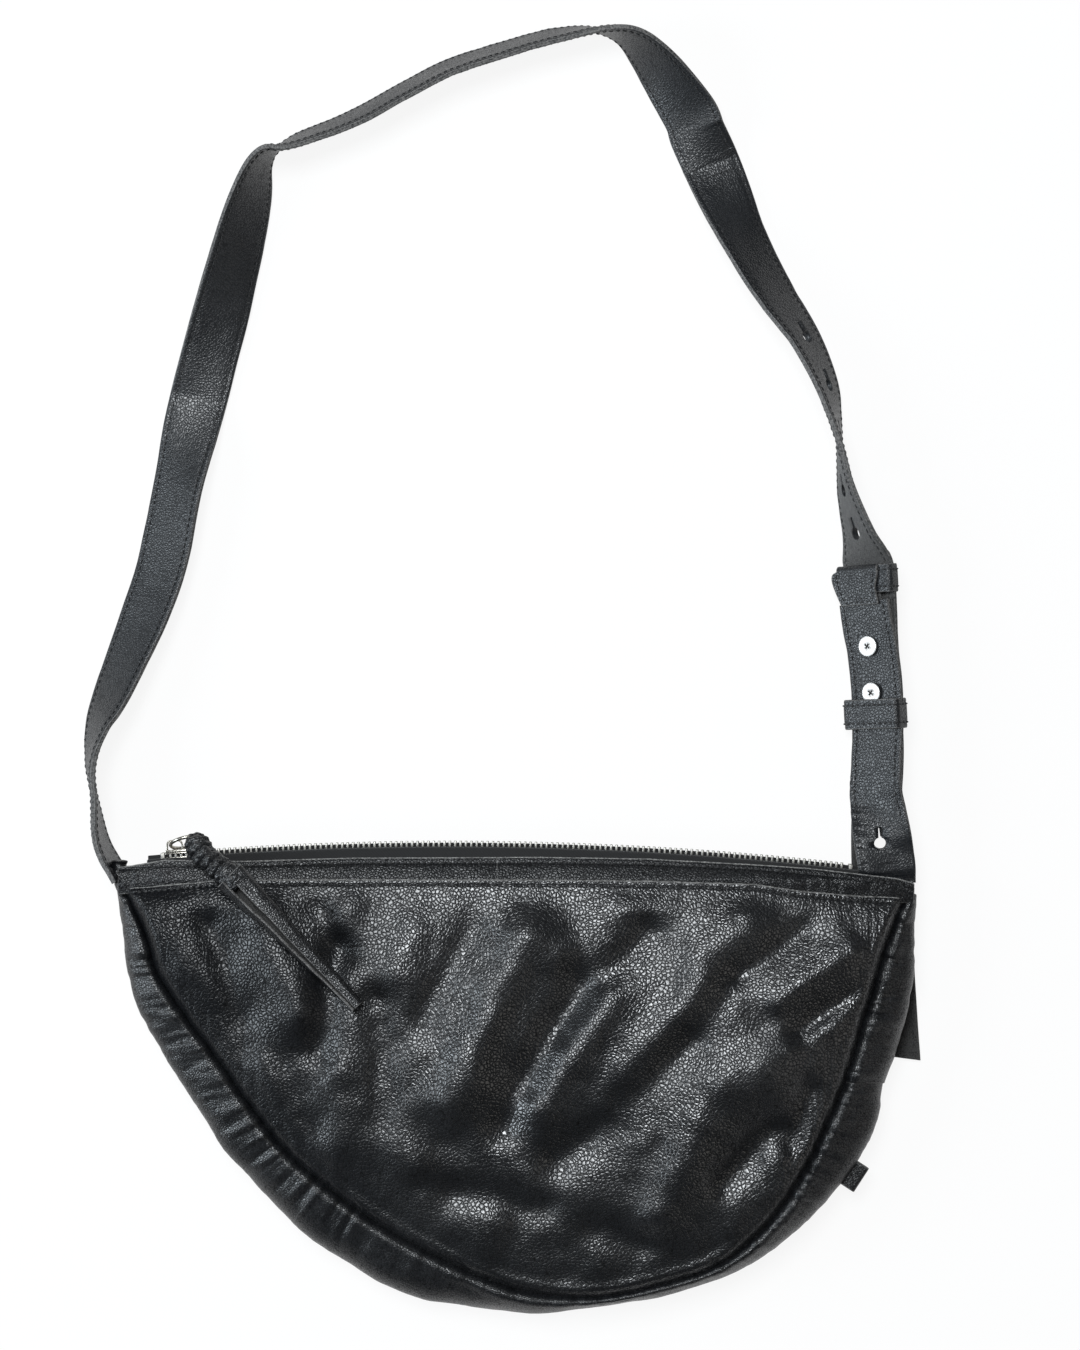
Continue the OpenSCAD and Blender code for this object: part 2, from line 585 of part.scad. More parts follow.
module pull_strip() {
    a = place(pull_neck_px, pull_neck_z);
    tip = place(pull_tip_px, pull_tip_z);
    d = unit(tip - a);
    b = a + pull_l * d;
    side = unit(cross(d, [0, 0, 1]));
    start = a + 2 * ply_gap * d;
    rows = [for (share = [0, 1]) let (p = mix(start, b, share), w = mix(pull_w, pull_tip_w, share) / 2)
        [p - side * w, p + side * w]];
    color(leather) skin(rows, 2 * pull_t);
}

// Long strap: place, direction, width direction and normal at a fractional step of its path
strap_t = 2 * strap_layer;
strap_probe = 0.02;
strap_per_step = 2;
function lie_z(roll) = (strap_w * abs(sin(roll)) + strap_t * abs(cos(roll))) / 2 + floor_gap;
function strap_reading(at) = curve(strap_px, at);
function strap_z(at) = lie_z(strap_reading(at)[2]) + strap_reading(at)[3] * run_lift;
function strap_point(at) = place(strap_reading(at), strap_z(at));
function strap_roll(at) = strap_reading(at)[2];
function level_unit(v) = unit([v.x, v.y, 0]);
function strap_way(at) = level_unit(strap_point(at + strap_probe) - strap_point(at - strap_probe));
function left_of(way) = [-way.y, way.x, 0];
function across(way, roll) = cos(roll) * left_of(way) + [0, 0, sin(roll)];
function facing(way, roll) = [0, 0, cos(roll)] - sin(roll) * left_of(way);
function ribbon_row(p, way, roll, rise, w) =
    let (c = p + rise * facing(way, roll), u = across(way, roll) * w / 2) [c - u, c + u];
function strap_rows(from, to, rise) =
    let (count = ceil((to - from) * strap_per_step))
    [for (i = [0:count]) let (at = mix(from, to, i / count))
        ribbon_row(strap_point(at), strap_way(at), strap_roll(at), rise, strap_w)];
module ribbon(from, to, low, high) {
    sheet(strap_rows(from, to, high), strap_rows(from, to, low));
}
module on_strap(at, roll) {
    way = strap_way(at);
    translate(strap_point(at)) rotate([0, 0, atan2(way.y, way.x)]) rotate([roll, 0, 0]) children();
}
module keyhole(turn) {
    rotate([0, 0, turn]) translate([0, 0, -strap_w / 2]) {
        cylinder(h = strap_w, d = keyhole_d, $fn = 32);
        translate([-keyhole_d / 2 - slit_l, -slit_w / 2, 0]) cube([keyhole_d / 2 + slit_l, slit_w, strap_w]);
    }
}
last_strap_step = len(strap_px) - 1;
tip_turn = 11;
module keyhole_layer(low, high) {
    difference() {
        ribbon(seam_step + seam_half_step, last_strap_step, low, high);
        for (at = keyhole_steps)
            on_strap(at, strap_roll(at)) intersection() {
                keyhole(0);
                cube([strap_w, keyhole_d + over, 2 * strap_t], center = true);
            }
        translate(strap_point(last_strap_step) + [strap_w / 2, 0, -over]) rotate([0, 0, -tip_turn])
            translate([-2 * strap_w, -strap_w, 0]) cube([3 * strap_w, strap_w, strap_t + 2 * over + floor_gap]);
    }
}
module strap_main_face() {
    color(leather) ribbon(0, seam_step - seam_half_step, 0, strap_layer);
}
module strap_main_backing() {
    color(suede) ribbon(0, seam_step - seam_half_step, -strap_layer, 0);
}
module strap_keyhole_face() {
    color(leather) keyhole_layer(0, strap_layer);
}
module strap_keyhole_backing() {
    color(suede) keyhole_layer(-strap_layer, 0);
}

// Anchor strap: lies on the long strap along the buckled stretch, then turns flat into the right corner
stack = strap_t + ply_gap;
swing_y = place_y(anchor_end_px[1].y, root_z);
fold_gap = ply_gap;
function run_up(at) = facing(strap_way(at), run_tilt);
function run_anchor(at) =
    let (clear = at == last_run_step ? 3 * ply_gap : 0, p = strap_point(at) + (stack + clear) * run_up(at))
    [p.x, p.y, p.z, run_tilt];
function end_anchor(row) =
    let (low = run_anchor(last_run_step).z, z = mix(low, root_z, row[3]), p = place(row, z)) [p.x, p.y, z, row[2]];
anchor_path = concat([for (at = [run_step:last_run_step]) run_anchor(at)],
                     [for (row = anchor_end_px) end_anchor(row)]);
anchor_last = len(anchor_path) - 1;
function anchor_way(at) = at > anchor_last - strap_probe ? [0, -1, 0]
    : level_unit(curve(anchor_path, at + strap_probe) - curve(anchor_path, max(0, at - strap_probe)));
anchor_per_step = 4;
anchor_parts = anchor_per_step * anchor_last;
function anchor_rows(parts, rise) = [for (i = [0:parts])
    let (at = i / anchor_per_step, c = curve(anchor_path, at))
    ribbon_row([c.x, c.y, c.z], anchor_way(at), c[3], rise, strap_w)];
module anchor_layer(parts, low, high) {
    difference() {
        sheet(anchor_rows(parts, high), anchor_rows(parts, low));
        for (at = stud_steps)
            on_strap(at, run_tilt) cylinder(h = 4 * strap_t, d = post_d + 2 * ply_gap, center = true, $fn = 32);
        translate(place(anchor_keyhole_px, root_z)) rotate([0, 0, -90]) keyhole(0);
    }
}
module anchor_face() {
    color(leather) {
        anchor_layer(anchor_parts, 0, strap_layer);
        translate([curve(anchor_path, anchor_last).x - strap_w / 2, swing_y, root_z])
            rotate([0, 90, 0]) cylinder(h = strap_w, r = strap_layer, $fn = 32);
    }
}
module anchor_backing() {
    color(suede) anchor_layer(anchor_parts - 1, -strap_layer, 0);
}
module rounded_rect(x0, y0, x1, y1, r) {
    translate([x0 + r, y0]) square([x1 - x0 - 2 * r, y1 - y0]);
    translate([x0, y0 + r]) square([x1 - x0, y1 - y0 - 2 * r]);
    for (x = [x0 + r, x1 - r], y = [y0 + r, y1 - r])
        translate([x, y]) circle(r = r, $fn = 32);
}
// Folded loop at the top of the anchor strap, round the fixed keeper
fold_low = strap_layer + ply_gap;
fold_inside = keeper_t + 2 * ply_gap;
fold_high = fold_low + 2 * strap_layer + fold_inside;
module anchor_fold() {
    r = (fold_high - fold_low) / 2;
    color(leather) on_strap(run_step, run_tilt) translate([-fold_gap, strap_w / 2, 0]) rotate([90, 0, 0])
        linear_extrude(strap_w) difference() {
            union() {
                translate([-fold_l, fold_low]) square([fold_l, fold_high - fold_low]);
                translate([-fold_l, fold_low + r]) circle(r = r, $fn = 40);
            }
            translate([-fold_l, fold_low + strap_layer]) square([fold_l - strap_layer, fold_inside]);
            translate([-fold_l, fold_low + r]) circle(r = fold_inside / 2, $fn = 40);
        }
}
keeper_room = 0.4;
module keeper(at, shift, length, top) {
    inner = strap_w / 2 + keeper_room;
    low = -strap_layer - ply_gap;
    color(leather) on_strap(at, run_tilt) translate([shift - length / 2, 0, 0]) rotate([90, 0, 90])
        linear_extrude(length) difference() {
            rounded_rect(-inner - keeper_t, low - keeper_t, inner + keeper_t, top + keeper_t, keeper_t);
            translate([-inner, low]) square([2 * inner, top - low]);
        }
}
module fixed_keeper() {
    keeper(run_step, -fold_gap - fold_l / 2 - strap_layer, fixed_keeper_w, fold_low + strap_layer + ply_gap);
}
keeper_shift = place_y(strap_px[stud_steps[1]].y, run_lift) - place_y(keeper_px, run_lift);
module sliding_keeper() {
    keeper(stud_steps[1], keeper_shift, keeper_w, strap_layer + stack + stud_t + ply_gap);
}
module stud_discs() {
    color(metal) for (at = stud_steps)
        on_strap(at, run_tilt) translate([0, 0, stack + strap_layer]) difference() {
            cylinder(h = stud_t, d = stud_d, $fn = 48);
            for (turn = [45, 135])
                rotate([0, 0, turn]) translate([-recess_l / 2, -recess_w / 2, stud_t / 2])
                    cube([recess_l, recess_w, stud_t]);
        }
}
module stud_knobs() {
    color(metal) for (at = stud_steps)
        on_strap(at, run_tilt) {
            translate([0, 0, -strap_layer - ply_gap - over])
                cylinder(h = stack + 2 * strap_layer + ply_gap + over, d = post_d, $fn = 32);
            translate([0, 0, -strap_layer - ply_gap - knob_h]) cylinder(h = knob_h, d = knob_d, $fn = 32);
        }
}

// Sewn ends of the strap inside the two corners
root_start_px = 888;
module strap_root_right() {
    y0 = place_y(root_start_px, root_z);
    y1 = swing_y - strap_layer - bead_gap;
    color(leather) translate([curve(anchor_path, anchor_last).x - strap_w / 2, y0, root_z - strap_layer])
        cube([strap_w, y1 - y0, strap_t]);
}
root_tab_h = 15;
root_tab_l = 14;
module strap_root_left() {
    x1 = strap_point(0).x + strap_layer + 4 * ply_gap;
    color(leather) translate([x1, seam_y - root_tab_l / 4, root_z + strap_t - root_tab_h])
        cube([left_end_xs[0] - ply_gap - x1, root_tab_l, root_tab_h]);
}
module side_tab() {
    color(leather) translate(place(side_tab_px, widest_z)) rotate([0, 0, side_tab_turn])
        translate([leather_t / 2 + ply_gap, -tab_w / 2, -tab_t / 2]) cube([tab_l, tab_w, tab_t]);
}

front_panel();
back_panel();
gusset();
gusset_end();
front_lining();
back_lining();
gusset_lining();
front_band_left();
front_band_right();
back_band_left();
back_band_right();
front_tape_ends();
back_tape_ends();
front_teeth_ends();
back_teeth_ends();
zip_stops();
strap_root_left();
strap_root_right();
side_tab();
front_band();
front_tape();
front_teeth();
back_band();
back_tape();
back_teeth();
slider_top();
slider_underplate();
slider_bridge();
pull_ring();
pull_gather();
pull_strip();
strap_main_face();
strap_main_backing();
strap_keyhole_face();
strap_keyhole_backing();
anchor_face();
anchor_backing();
anchor_fold();
fixed_keeper();
stud_discs();
stud_knobs();
sliding_keeper();
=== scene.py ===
# %% [markdown]
# # Half moon bag
# The bag lies on its back and is looked at from straight above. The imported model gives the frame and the
# moving bodies. Everything that shows is built here as its own mesh: leather shells, bands, zip, pull,
# strap, studs and thread. Lengths are metres, and places on the table are readings in picture units that
# `place()` turns into metres.

# %% Start
import math
import bmesh
import bpy
import numpy as np
from mathutils import Matrix, Vector


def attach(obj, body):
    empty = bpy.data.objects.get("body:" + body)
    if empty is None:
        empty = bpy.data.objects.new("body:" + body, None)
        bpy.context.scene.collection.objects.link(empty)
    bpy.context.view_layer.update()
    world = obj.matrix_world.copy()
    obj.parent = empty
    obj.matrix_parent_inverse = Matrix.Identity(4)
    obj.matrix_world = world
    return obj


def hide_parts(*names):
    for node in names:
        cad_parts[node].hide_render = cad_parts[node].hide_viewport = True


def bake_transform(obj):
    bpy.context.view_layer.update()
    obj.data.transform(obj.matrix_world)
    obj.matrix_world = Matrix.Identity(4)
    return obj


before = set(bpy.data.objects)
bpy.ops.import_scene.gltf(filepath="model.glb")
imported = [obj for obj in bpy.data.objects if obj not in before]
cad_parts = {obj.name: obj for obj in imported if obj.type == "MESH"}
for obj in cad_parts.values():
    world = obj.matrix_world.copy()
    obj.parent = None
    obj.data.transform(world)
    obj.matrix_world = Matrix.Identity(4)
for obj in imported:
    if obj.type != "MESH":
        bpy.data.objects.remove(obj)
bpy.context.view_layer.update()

# %% [markdown]
# ## Measures
# The eye stands 1.5 m above the floor, so what is raised looks a little further from the middle of the view.
# `place()` undoes that: it takes a reading and a height and gives the point in the bag's frame. Names that
# end in PX are readings; the mouth line lies MOUTH_UP_PX above the frame's origin.

# %% Measures
EYE = 1.5
VIEW_MID = (540.0, 675.0)
BAG_W, BAG_H, LOOP_H = 0.408, 0.216, 0.443
BAG_MID_PX, BAG_W_PX, BAG_H_PX, LOOP_H_PX = 516, 801, 423, 868
MOUTH_PX, MOUTH_UP_PX = 888, 202
SEAM_Z, CROWN, WIDEST_Z, MOUTH_Z, CHAIN_Z = 0.034, 0.011, 0.018, 0.033, 0.020
LEATHER = 0.0016
CORNER_FRONT_Z = 0.0239
CORNER_BACK_Z = 0.010
STRAP_W, STRAP_T = 0.029, 0.003
ARC_R = 1.780
ZIP_TOP = (-0.0330067, 0.126604)
SEAM_Y = 0.109534
BACK_HINGE_Z = 0.0012
LIP_LEFT, LIP_RIGHT = ZIP_TOP[0] - 0.096, ZIP_TOP[0] + 0.1425


def place(px, py, z):
    """The point in the bag's frame that is seen at a reading, at a height."""
    px, py, z = np.broadcast_arrays(np.asarray(px, float), np.asarray(py, float), np.asarray(z, float))
    near = 1 - z / EYE
    x = (VIEW_MID[0] + (px - VIEW_MID[0]) * near - BAG_MID_PX) * BAG_W / BAG_W_PX
    q = VIEW_MID[1] + (py - VIEW_MID[1]) * near
    low = (MOUTH_UP_PX - (q - MOUTH_PX)) * BAG_H / BAG_H_PX
    high = MOUTH_UP_PX * BAG_H / BAG_H_PX + (MOUTH_PX - q) * LOOP_H / LOOP_H_PX
    return np.stack([x, np.where(q > MOUTH_PX, low, high), z], -1)


def arc_y(x):
    """The zip's shallow arc."""
    return ZIP_TOP[1] - ARC_R + np.sqrt(ARC_R ** 2 - (x - ZIP_TOP[0]) ** 2)


def smooth(t):
    t = np.clip(t, 0, 1)
    return t * t * (3 - 2 * t)


def curve(rows, at):
    """Smooth curve through all rows, read at fractional steps."""
    rows = np.asarray(rows, float)
    at = np.clip(np.asarray(at, float), 0, len(rows) - 1)
    i = np.minimum(np.floor(at).astype(int), len(rows) - 2)
    f = (at - i)[..., None]
    a, b = rows[np.clip(i - 1, 0, None)], rows[i]
    c, d = rows[i + 1], rows[np.clip(i + 2, None, len(rows) - 1)]
    return (2 * b + (c - a) * f + (2 * a - 5 * b + 4 * c - d) * f ** 2 + (3 * b - a - 3 * c + d) * f ** 3) / 2


def rough(x, y, seed):
    """Even, repeatable unevenness between -1 and 1."""
    def at(i, j):
        h = np.sin(i * 127.1 + j * 311.7 + seed * 74.7) * 43758.5453
        return (h - np.floor(h)) * 2 - 1
    i, j = np.floor(x), np.floor(y)
    u, v = smooth(x - i), smooth(y - j)
    low = at(i, j) * (1 - u) + at(i + 1, j) * u
    high = at(i, j + 1) * (1 - u) + at(i + 1, j + 1) * u
    return low * (1 - v) + high * v


# %% [markdown]
# ## Making pieces
# A `Piece` gathers points and faces, then becomes one finished mesh at the origin. `edge` says how close a
# point is to a cut edge (1 on it), so that the leather there can look raw and lighter.

# %% Making pieces
class Piece:
    def __init__(self, name):
        self.name, self.count = name, 0
        self.points, self.faces, self.mats, self.edges, self.uvs = [], [], [], [], []

    def add(self, points, faces, mat=0, edge=0.0, uv=None):
        """Adds points and faces. `mat` and `edge` are one value, or one for each face or point."""
        points = np.asarray(points, float).reshape(-1, 3)
        self.points.append(points)
        self.faces += [tuple(int(k) + self.count for k in f) for f in faces]
        self.mats += np.broadcast_to(mat, (len(faces),)).tolist()
        self.edges.append(np.broadcast_to(np.asarray(edge, float), (len(points),)))
        self.uvs.append(points[:, :2] if uv is None else np.asarray(uv, float).reshape(-1, 2))
        self.count += len(points)

    def make(self, materials, slot):
        mesh = bpy.data.meshes.new(self.name)
        mesh.from_pydata(np.concatenate(self.points).tolist(), [], self.faces)
        mesh.polygons.foreach_set("material_index", self.mats)
        mesh.polygons.foreach_set("use_smooth", [True] * len(self.faces))
        near = mesh.attributes.new("cut_edge", "FLOAT", "POINT")
        near.data.foreach_set("value", np.concatenate(self.edges).astype(np.float32))
        loops = np.empty(len(mesh.loops), int)
        mesh.loops.foreach_get("vertex_index", loops)
        layer = mesh.uv_layers.new(name="along")
        layer.data.foreach_set("uv", np.concatenate(self.uvs)[loops].astype(np.float32).ravel())
        mesh.update()
        piece = bpy.data.objects.new(self.name, mesh)
        bpy.context.scene.collection.objects.link(piece)
        for m in materials:
            mesh.materials.append(m)
        return piece


def face_away(piece):
    """Turns the faces outwards, for closed pieces."""
    bm = bmesh.new()
    bm.from_mesh(piece.data)
    bmesh.ops.recalc_face_normals(bm, faces=bm.faces[:])
    bm.to_mesh(piece.data)
    bm.free()


def unit(v):
    """Vectors of length one."""
    return v / np.maximum(np.linalg.norm(v, axis=-1, keepdims=True), 1e-12)


def normals(grid):
    """Normal of a grid at each of its points."""
    return unit(np.cross(np.gradient(grid, axis=0), np.gradient(grid, axis=1)))


def outward(grid, centre):
    """The grid, turned over if its normals point at the centre."""
    facing = (normals(grid) * (grid - centre)).sum(-1).mean()
    return grid if facing > 0 else grid[:, ::-1]


def along(grid):
    """Distances along both ways of a grid, as a map for threads and weave."""
    du = np.linalg.norm(np.diff(grid, axis=0), axis=-1)
    dv = np.linalg.norm(np.diff(grid, axis=1), axis=-1)
    u = np.concatenate([np.zeros((1, grid.shape[1])), np.cumsum(du, 0)])
    v = np.concatenate([np.zeros((grid.shape[0], 1)), np.cumsum(dv, 1)], 1)
    return np.stack([u, v], -1)


def run_of(path):
    """Distance along a path at each of its points."""
    return np.concatenate([[0], np.cumsum(np.linalg.norm(np.diff(path, axis=0), axis=1))])


def grid_of(x, y, z):
    """A grid of points from coordinates that are spread over one another."""
    return np.stack(np.broadcast_arrays(x, y, z), -1)


def grid_faces(n, m, flip=False, close_j=False):
    """Faces of a grid of n rows of m points; `close_j` joins the last column to the first."""
    i, j = np.meshgrid(np.arange(n - 1), np.arange(m if close_j else m - 1), indexing="ij")
    after = (j + 1) % m
    f = np.stack([i * m + j, (i + 1) * m + j, (i + 1) * m + after, i * m + after], -1).reshape(-1, 4)
    return f[:, ::-1] if flip else f


def tube_faces(n, sides, caps_out=False):
    """Faces of n rings of points, with a cap over each end."""
    first, last = list(range(sides)), list(range((n - 1) * sides, n * sides))
    caps = [first[::-1], last] if caps_out else [first, last[::-1]]
    return grid_faces(n, sides, close_j=True).tolist() + caps


def leather_sheet(piece, grid, thick, mat=0, inside=0, edge_mat=None, lift=0.0):
    """Adds a sheet with rounded cut edges. The grid is its middle, and the grid's normals point outside."""
    n, m, _ = grid.shape
    out = normals(grid)
    mid = grid + out * lift
    uv = along(grid)
    top, under = mid + out * thick / 2, mid - out * thick / 2
    rim = np.zeros((n, m))
    rim[0], rim[-1], rim[:, 0], rim[:, -1] = 1, 1, 1, 1
    piece.add(top, grid_faces(n, m), mat, rim.ravel(), uv)
    piece.add(under, grid_faces(n, m, flip=True), inside, rim.ravel(), uv)
    ring = [(i, 0) for i in range(n)] + [(n - 1, j) for j in range(1, m)]
    ring += [(i, m - 1) for i in range(n - 2, -1, -1)] + [(0, j) for j in range(m - 2, 0, -1)]
    ii, jj = np.array(ring).T
    middle = mid[ii, jj]
    before = mid[np.clip(ii, 1, n - 2), np.clip(jj, 1, m - 2)]
    push = unit(middle - before) * thick * 0.3
    rise = out[ii, jj] * thick * 0.28
    rows = np.stack([top[ii, jj], middle + rise + push * 0.85, middle - rise + push * 0.85, under[ii, jj]])
    piece.add(rows, grid_faces(4, len(ring), close_j=True), mat if edge_mat is None else edge_mat, 1.0,
              np.tile(uv[ii, jj], (4, 1)))


def path_frames(points, up):
    """Way, side and up at each point of a path."""
    way = unit(np.gradient(points, axis=0))
    side = unit(np.cross(way, up))
    return way, side, np.cross(side, way)


def tube(piece, points, radii, sides=12, mat=0, up=(0, 0, 1), closed=False, squash=1.0, edge=0.0):
    """Adds a rod along a path and returns its rings of points. `squash` widens it along `up`."""
    points = np.asarray(points, float)
    radii = np.broadcast_to(np.asarray(radii, float), (len(points),))
    up = np.broadcast_to(np.asarray(up, float), points.shape)
    if closed:
        way = unit(np.roll(points, -1, 0) - np.roll(points, 1, 0))
        side = unit(np.cross(way, up))
        top = np.cross(side, way)
    else:
        way, side, top = path_frames(points, up)
    a = np.linspace(0, 2 * np.pi, sides, endpoint=False)[None, :, None]
    ring = np.cos(a) * side[:, None] + squash * np.sin(a) * top[:, None]
    grid = points[:, None] + radii[:, None, None] * ring
    n = len(points)
    faces = grid_faces(n + 1, sides, close_j=True) % (n * sides) if closed else tube_faces(n, sides)
    piece.add(grid, faces, mat, edge)
    return grid


STITCH_SIDES = 6
STITCH_ALONG = np.array([-1, -0.72, 0, 0.72, 1])
STITCH_BOW = np.array([-0.9, 0.15, 0.55, 0.15, -0.9])
STITCH_FAT = np.array([0.35, 0.85, 1, 0.85, 0.35])


def thread(piece, points, ups, pitch=0.0033, long=0.0023, wide=0.00042, mat=0):
    """A row of stitches: short rounded threads that dip into the leather at both ends."""
    ups = np.broadcast_to(ups, np.shape(points))
    run = run_of(points)
    step = np.interp(np.arange(pitch / 2, run[-1] - pitch / 2, pitch), run, np.arange(len(points)))
    i = np.minimum(step.astype(int), len(points) - 2)
    f = (step - i)[:, None]
    p = points[i] * (1 - f) + points[i + 1] * f
    up = unit(ups[i] * (1 - f) + ups[i + 1] * f)
    way = unit(points[i + 1] - points[i])
    side, up, way = (q[:, None, None] for q in (np.cross(up, way), up, way))
    s, bow, fat = (q[None, :, None, None] for q in (STITCH_ALONG * long / 2, STITCH_BOW * wide, STITCH_FAT))
    a = np.linspace(0, 2 * np.pi, STITCH_SIDES, endpoint=False)[None, None, :, None]
    grid = p[:, None, None] + way * s + up * bow + wide * fat * (np.cos(a) * side + np.sin(a) * up)
    one = tube_faces(len(STITCH_ALONG), STITCH_SIDES, caps_out=True)
    each = len(STITCH_ALONG) * STITCH_SIDES
    piece.add(grid, [[k + c * each for k in f] for c in range(len(p)) for f in one], mat)


# %% [markdown]
# ## Materials
# Black full-grain leather: a net of fine creases around pebbles, a little bluish, softly shining on the
# tops and rougher in the creases, lighter and fuzzy where it is cut. The creases carry painted shade: their
# colour is darker and they reflect less than the tops. Everything is procedural and read from the object's
# own coordinates or the pieces' own maps.

# %% Materials
def feed(tree, socket, value):
    """Links an output to a socket, or sets the socket's own value."""
    if isinstance(value, bpy.types.NodeSocket):
        tree.links.new(value, socket)
    else:
        socket.default_value = value


def node(tree, kind, **values):
    """A new node. Names in small letters are its settings, and the others are its inputs."""
    n = tree.nodes.new(kind)
    for name, value in values.items():
        if name.islower():
            setattr(n, name, value)
        else:
            feed(tree, n.inputs[name.replace("_", " ")], value)
    return n


def math_node(tree, operation, a, b, clamp=False):
    n = node(tree, "ShaderNodeMath", operation=operation, use_clamp=clamp)
    feed(tree, n.inputs[0], a)
    feed(tree, n.inputs[1], b)
    return n.outputs[0]


def range_node(tree, value, a, b, c, d):
    """Takes values from a to b over to values from c to d."""
    n = node(tree, "ShaderNodeMapRange", Value=value, From_Min=a, From_Max=b, To_Min=c, To_Max=d)
    return n.outputs["Result"]


def mixed(tree, share, a, b):
    """A colour between a and b."""
    return node(tree, "ShaderNodeMix", data_type="RGBA", Factor=share, A=a, B=b).outputs["Result"]


def noise(tree, scale, detail, where):
    """A cloudy pattern."""
    return node(tree, "ShaderNodeTexNoise", Scale=scale, Detail=detail, Vector=where)


def own_place(tree):
    """The object's own coordinates."""
    return tree.nodes.new("ShaderNodeTexCoord").outputs["Object"]


def shade(colour, by=1.0):
    """A colour made darker or lighter, with full cover."""
    return (*[c * by for c in colour], 1)


def nodes_of(name):
    """A new material without nodes, and its tree."""
    m = bpy.data.materials.new(name)
    m.use_nodes = True
    m.node_tree.nodes.clear()
    return m, m.node_tree


def surface(name):
    """A new material, its tree, its body and the object's own coordinates."""
    m, t = nodes_of(name)
    body = t.nodes.new("ShaderNodeBsdfPrincipled")
    node(t, "ShaderNodeOutputMaterial", Surface=body.outputs[0])
    return m, t, body, own_place(t)


def bumps(tree, body, height, distance):
    """Gives a body small bumps from a height between 0 and 1."""
    bump = node(tree, "ShaderNodeBump", Height=height, Distance=distance)
    feed(tree, body.inputs["Normal"], bump.outputs[0])


def leather_group():
    """Height of the grain, how deep in a crease a point lies, and a slow unevenness, from a place and a
    cell count a metre."""
    g = bpy.data.node_groups.new("pebble_grain", "ShaderNodeTree")
    g.interface.new_socket("Place", in_out="INPUT", socket_type="NodeSocketVector")
    g.interface.new_socket("Cells", in_out="INPUT", socket_type="NodeSocketFloat")
    for name in ("Height", "Crease", "Cloud"):
        g.interface.new_socket(name, in_out="OUTPUT", socket_type="NodeSocketFloat")
    given, result = g.nodes.new("NodeGroupInput").outputs, g.nodes.new("NodeGroupOutput").inputs
    here, cells = given["Place"], given["Cells"]
    off = node(g, "ShaderNodeVectorMath", operation="SCALE", Scale=0.0012)
    feed(g, off.inputs[0], noise(g, 220.0, 2.0, here).outputs["Color"])
    moved = node(g, "ShaderNodeVectorMath", operation="ADD")
    feed(g, moved.inputs[0], here)
    feed(g, moved.inputs[1], off.outputs[0])
    cell, small = (node(g, "ShaderNodeTexVoronoi", feature="DISTANCE_TO_EDGE", Vector=moved.outputs[0],
                        Scale=count).outputs["Distance"]
                   for count in (cells, math_node(g, "MULTIPLY", cells, 2.3)))
    slope = range_node(g, cell, 0.0, 0.42, 0.0, 1.0)
    dome = math_node(g, "MULTIPLY", slope, math_node(g, "SUBTRACT", 2.0, slope))
    fine = range_node(g, small, 0.0, 0.3, 0.0, 1.0)
    high = math_node(g, "ADD", math_node(g, "MULTIPLY", dome, 0.9), math_node(g, "MULTIPLY", fine, 0.06))
    pores = math_node(g, "MULTIPLY", noise(g, 2600.0, 3.0, here).outputs[0], 0.04)
    feed(g, result["Height"], math_node(g, "ADD", high, pores))
    feed(g, result["Crease"], range_node(g, cell, 0.0, 0.12, 1.0, 0.0))
    feed(g, result["Cloud"], noise(g, 28.0, 4.0, here).outputs[0])
    return g


GRAIN = leather_group()


def leather(name, colour, cells, relief, shine, raw=(0.16, 0.155, 0.15), sheen=0.0, deep=1.0,
            shine_level=0.95, painted_left_shade=None):
    """Pebbled leather. `deep` is how dark and dull the creases are, a painted shade in their colour and their
    reflection, and `shine_level` how strongly the tops reflect. The last argument, when given, holds two
    places from left to right and the share of the reflection at each: a painted shade that dims the
    reflection towards the left end."""
    m, t, body, here = surface(name)
    grain = node(t, "ShaderNodeGroup", node_tree=GRAIN, Cells=cells, Place=here).outputs
    bumps(t, body, grain["Height"], relief)
    edge = node(t, "ShaderNodeAttribute", attribute_name="cut_edge").outputs["Fac"]
    worn = math_node(t, "MULTIPLY", range_node(t, edge, 0.55, 1.0, 0.0, 1.0),
                     range_node(t, noise(t, 900.0, 3.0, here).outputs[0], 0.36, 0.68, 0.15, 1.0), clamp=True)
    tint = mixed(t, grain["Cloud"], shade(colour, 0.72), shade(colour, 1.35))
    # Painted shade: the creases are darker than the tops.
    dark = mixed(t, grain["Crease"], tint, shade(colour, 1 - 0.8 * deep))
    feed(t, body.inputs["Base Color"], mixed(t, worn, dark, shade(raw)))
    gloss = range_node(t, grain["Cloud"], 0.3, 0.7, shine - 0.05, shine + 0.07)
    gloss = math_node(t, "ADD", gloss, math_node(t, "MULTIPLY", grain["Crease"], 0.25), clamp=True)
    gloss = math_node(t, "ADD", gloss, math_node(t, "MULTIPLY", worn, 0.35), clamp=True)
    feed(t, body.inputs["Roughness"], gloss)
    # Painted shade: the creases reflect less than the tops.
    level = range_node(t, grain["Crease"], 0.0, 1.0, shine_level, shine_level * (1 - 0.84 * deep))
    # Painted shade: the reflection is dimmed towards the left end of the bag.
    if painted_left_shade:
        split = node(t, "ShaderNodeSeparateXYZ", Vector=here)
        level = math_node(t, "MULTIPLY", level, range_node(t, split.outputs["X"], *painted_left_shade))
    feed(t, body.inputs["Specular IOR Level"], level)
    if sheen:
        body.inputs["Sheen Weight"].default_value = sheen
        body.inputs["Sheen Roughness"].default_value = 0.6
    return m


